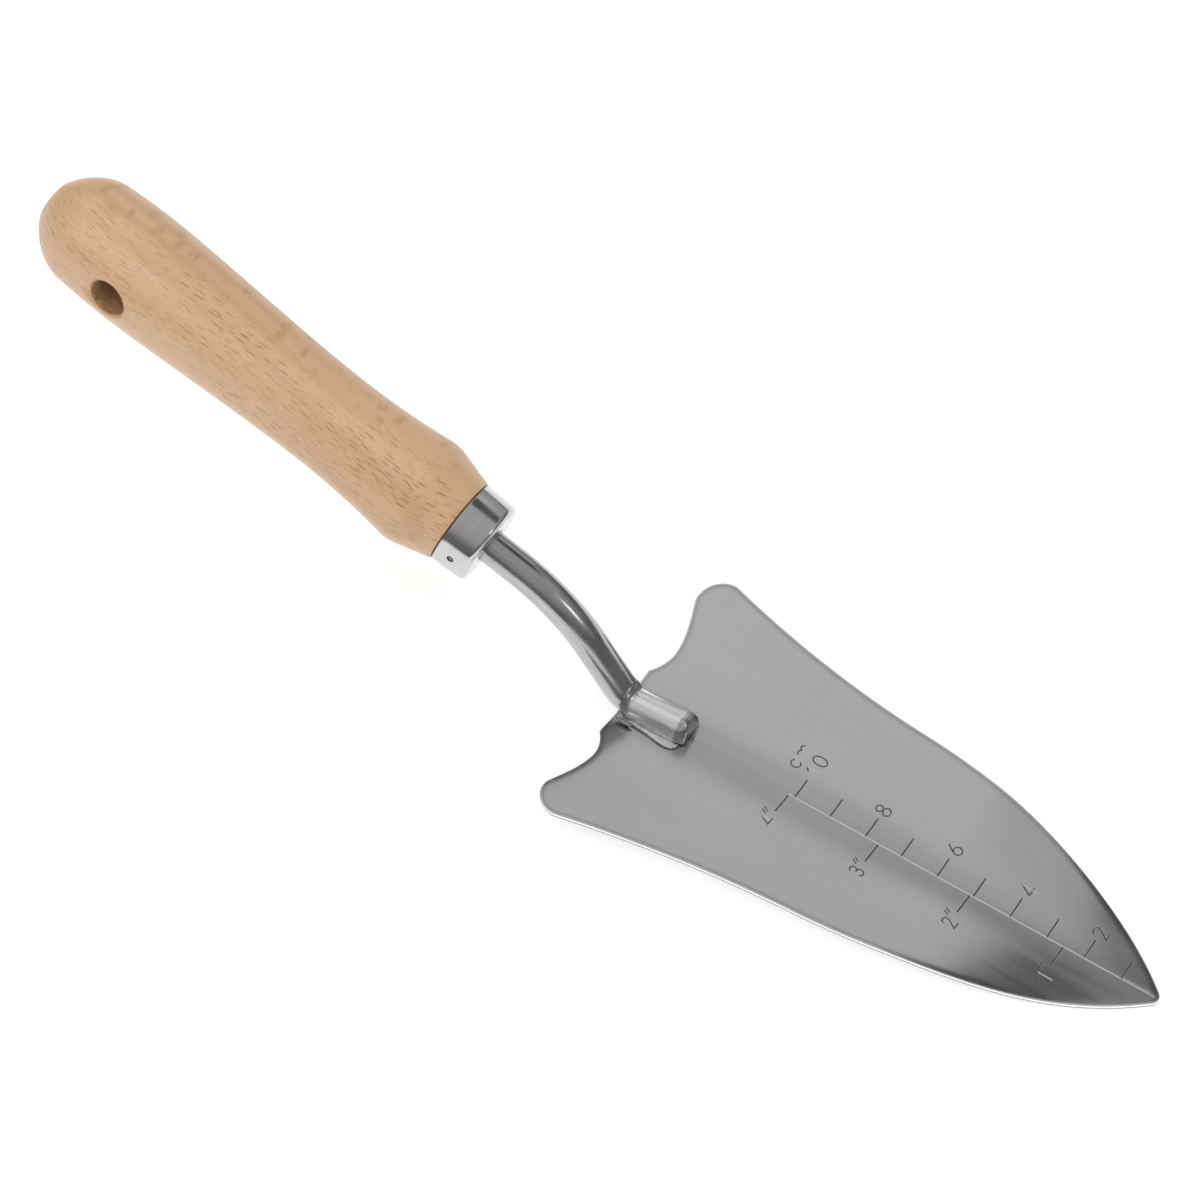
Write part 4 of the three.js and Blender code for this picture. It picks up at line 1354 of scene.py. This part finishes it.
    def make_pin(self) -> bpy.types.Object:
        """Builds the small pin with a domed, slightly dished head."""
        foot, head = self.bore + 0.8, self.ferrule_rear - 0.22
        outline = [(1.0, foot), (1.0, mix(foot, head, 0.5)), (1.0, head - 0.16), (0.94, head - 0.06),
                   (0.78, head), (0.5, head - 0.02), (0.25, head - 0.06)]
        steps = [(far, self.pin * share) for share, far in outline]
        obj = self.crossing("ferrule_pin_head", -self.pin_back, steps, 28)
        obj.data.materials.append(Polished("pin_steel", 0.2, 0.4, (900, 900, 900), 0.004).make())
        return settle(obj, ["ferrule_pin"])

    def make_handle(self) -> bpy.types.Object:
        """Builds the turned handle with its tenon, tang bore and hanging hole."""
        straight = self.length - self.butt_round
        tenon = self.ferrule_front - self.ferrule_wall - self.gap
        tenon_end = -(self.ferrule_length - self.ferrule_wall - self.gap)
        section: list[tuple[float, float]] = [(0, self.bore_depth), (self.bore, self.bore_depth), (self.bore, tenon_end)]
        section += [(tenon, tenon_end), (tenon, 0.0), (self.shoulder - 0.35, 0.0), (self.shoulder - 0.1, 0.08)]
        section += [(self.radius(s), s) for s in np.linspace(0.35, self.knuckle_at - 1.9, 10)]
        for s in np.linspace(-1.7, 1.7, 11):
            eased = 0.3 * (1 - abs(s) / 1.75) ** 2
            section.append((self.radius(self.knuckle_at + s) - eased, self.knuckle_at + s))
        section += [(self.radius(s), s) for s in np.linspace(self.knuckle_at + 2.2, straight, 90)]
        section += [(self.radius(straight + self.butt_round * math.sin(a)), straight + self.butt_round * math.sin(a))
                    for a in np.linspace(0.06, math.pi / 2, 34)]
        section += [(self.butt_flat * 0.5, self.length), (0, self.length)]
        obj = turned("beech_handle", section, 192, self.place)
        beech = Beech().make()
        obj.data.materials.append(beech)
        cut_with(obj, self.hole_cutter(beech))
        sharpen(obj, 38)
        return settle(obj, ["handle"])

    def hole_cutter(self, beech: bpy.types.Material) -> bpy.types.Object:
        """The drill and its flared mouths, wider towards the butt; the mouths keep the varnished beech."""
        at, sides = self.length - self.hole_from_butt, 72
        mouth = self.radius(at)
        toward_butt = 0.5 + 0.5 * np.sin(np.linspace(0, 2 * math.pi, sides, endpoint=False))
        widest = 1.6 + 3.0 * toward_butt**2
        half = [(mouth + 1.5, 1.0), (mouth, 0.62), (mouth - 0.7, 0.3), (mouth - 1.4, 0.1), (mouth - 2.3, 0.0)]
        steps = [(-far, self.hole + flare * widest) for far, flare in half]
        steps += [(far, self.hole + flare * widest) for far, flare in half[::-1]]
        cutter = self.crossing("hole_drill", at, steps, sides)
        cutter.data.materials.append(beech)
        cutter.data.materials.append(RawBore().make())
        for polygon in cutter.data.polygons[3 * sides:6 * sides]:
            polygon.material_index = 1
        return cutter

    def dress_bond(self) -> None:
        """Gives the hidden adhesive its finish."""
        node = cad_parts["tang_bond"]
        node.data.materials.clear()
        node.data.materials.append(Adhesive().make())
        log.info("tang_bond: kept, with its own finish")


# ---------------------------------------------------------------- studio


@dataclass
class Panel:
    """A soft light: a flat board that faces a point."""

    name: str
    at: Triple
    size: tuple[float, float]
    brightness: float
    aim: Triple = (0.0, 0.0, 0.03)
    glossy: bool = True

    def hang(self) -> bpy.types.Object:
        """Makes it an area light."""
        light = bpy.data.lights.new(self.name, "AREA")
        light.shape = "RECTANGLE"
        light.size, light.size_y = self.size
        light.energy = math.pi * self.size[0] * self.size[1] * self.brightness
        obj = add_object(self.name, light)
        obj.location = self.at
        obj.rotation_euler = (Vector(self.aim) - Vector(self.at)).to_track_quat("-Z", "Y").to_euler()
        obj.visible_glossy = self.glossy
        return obj


@dataclass
class Studio:
    """Floor, lights and camera."""

    aim: Triple = (-0.0007, 0.0053, 0.03)
    distance: float = 0.8616
    azimuth: float = -55.9
    elevation: float = 53.69
    lens: float = 107.05
    floor_radius: float = 6.0
    drop_radius: float = 5.9
    drop_top: float = 5.0
    glow: float = 0.52
    panels: tuple[Panel, ...] = (
        Panel("over", (-0.60, 0.08, 1.35), (0.7, 0.8), 0.17),
        Panel("behind", (-0.9, 2.0, 1.0), (2.8, 1.6), 0.24),
        Panel("key", (1.25, 0.08, 1.0), (0.3, 0.4), 2.4),
        Panel("fill", (0.0, -0.45, 1.65), (2.0, 2.0), 1.75, glossy=False),
    )

    def build(self) -> None:
        """Sets up the whole studio."""
        self.set_floor()
        self.set_backdrop()
        self.set_world()
        for panel in self.panels:
            panel.hang()
        self.set_flag()
        self.set_camera()
        bpy.context.scene.view_settings.view_transform = "Standard"

    def set_floor(self) -> None:
        """A plain pale sweep that glows a little, as a lit white table does."""
        mesh = bpy.data.meshes.new("floor")
        mesh.from_pydata(circle(self.floor_radius, self.floor_radius, SIDES), [], [tuple(range(SIDES))])
        floor = add_object("floor", mesh)
        floor.location.z = CAD_BOX[0][2] - 0.0004
        r = Recipe("pale_floor")
        fleck = r.noise(r.place((8, 8, 8)), 2, 0.5)
        white = r.blend(fleck, grey(0.71), grey(0.73))
        r.wire(Base_Color=white, Roughness=0.9, Emission_Color=(1, 1, 1, 1), Emission_Strength=self.glow)
        mesh.materials.append(r.material)

    def set_backdrop(self) -> None:
        """A pale round backdrop behind the floor, which only the camera sees."""
        low, high = (circle(self.drop_radius, self.drop_radius, SIDES, z) for z in (-0.05, self.drop_top))
        faces = [(i, (i + 1) % SIDES, (i + 1) % SIDES + SIDES, i + SIDES) for i in range(SIDES)]
        mesh = bpy.data.meshes.new("backdrop")
        mesh.from_pydata(low + high, [], faces)
        backdrop = add_object("backdrop", mesh)
        r = Recipe("pale_backdrop")
        cloth = r.noise(r.place((3, 3, 3)), 2, 0.5)
        r.wire(Base_Color=r.blend(cloth, grey(0.5), grey(0.52)), Roughness=0.9, Emission_Color=(1, 1, 1, 1),
               Emission_Strength=0.75)
        mesh.materials.append(r.material)
        backdrop.visible_glossy = False
        backdrop.visible_diffuse = False
        backdrop.visible_shadow = False

    def set_world(self) -> None:
        """A room that is brighter overhead and darker near the horizon."""
        world = bpy.data.worlds.new("studio")
        world.use_nodes = True
        tree = world.node_tree
        coords = tree.nodes.new("ShaderNodeTexCoord")
        split = tree.nodes.new("ShaderNodeSeparateXYZ")
        ramp = tree.nodes.new("ShaderNodeValToRGB")
        tree.links.new(coords.outputs["Generated"], split.inputs[0])
        tree.links.new(split.outputs["Z"], ramp.inputs[0])
        shades = ramp.color_ramp.elements
        shades[0].position, shades[0].color = 0.0, grey(0.15)
        shades[1].position, shades[1].color = 0.9, grey(0.55)
        for height, level in ((0.33, 0.21), (0.6, 0.46)):
            shade = shades.new(height)
            shade.color = grey(level)
        tree.links.new(ramp.outputs[0], tree.nodes["Background"].inputs[0])
        bpy.context.scene.world = world

    def set_flag(self) -> None:
        """A dark oval flag overhead that shades the tip's reflection."""
        mesh = bpy.data.meshes.new("flag")
        mesh.from_pydata(circle(0.30, 0.32, SIDES // 2), [], [tuple(range(SIDES // 2))])
        flag = add_object("flag", mesh)
        flag.location = (0.165, 0.76, 1.0)
        r = Recipe("black_flag")
        weave = r.noise(r.place((600, 600, 600)), 2, 0.5)
        r.wire(Base_Color=r.blend(weave, grey(0.07), grey(0.09)), Roughness=0.95)
        mesh.materials.append(r.material)
        flag.visible_camera = False
        flag.visible_diffuse = False
        flag.visible_shadow = False

    def set_camera(self) -> None:
        """The camera, level and looking down at the middle of the tool."""
        data = bpy.data.cameras.new("camera")
        data.sensor_width = 36.0
        data.lens = self.lens
        data.clip_end = 20.0
        camera = add_object("camera", data)
        around, up = math.radians(self.azimuth), math.radians(self.elevation)
        back = Vector((math.cos(up) * math.cos(around), math.cos(up) * math.sin(around), math.sin(up)))
        camera.location = Vector(self.aim) + back * self.distance
        camera.rotation_euler = (-back).to_track_quat("-Z", "Y").to_euler()
        bpy.context.scene.camera = camera
        bpy.context.view_layer.update()


def main() -> None:
    """Builds the trowel piece by piece, then the studio."""
    logging.basicConfig(level=logging.INFO, format="%(message)s")
    Blade().make()
    neck = Neck()
    neck.make()
    WeldLip(Side.LEFT, "weld_flash_left", 0.3, 2.4, seed=2).make(neck)
    WeldLip(Side.RIGHT, "weld_flash_right", 1.2, 1.3, start=-148.4, end=-133.0, seed=7).make(neck)
    HeelBead().make(neck)
    grip = Grip(neck)
    grip.make_ferrule()
    grip.make_pin()
    grip.make_handle()
    grip.dress_bond()
    Studio().build()


if __name__ == "__main__":
    main()
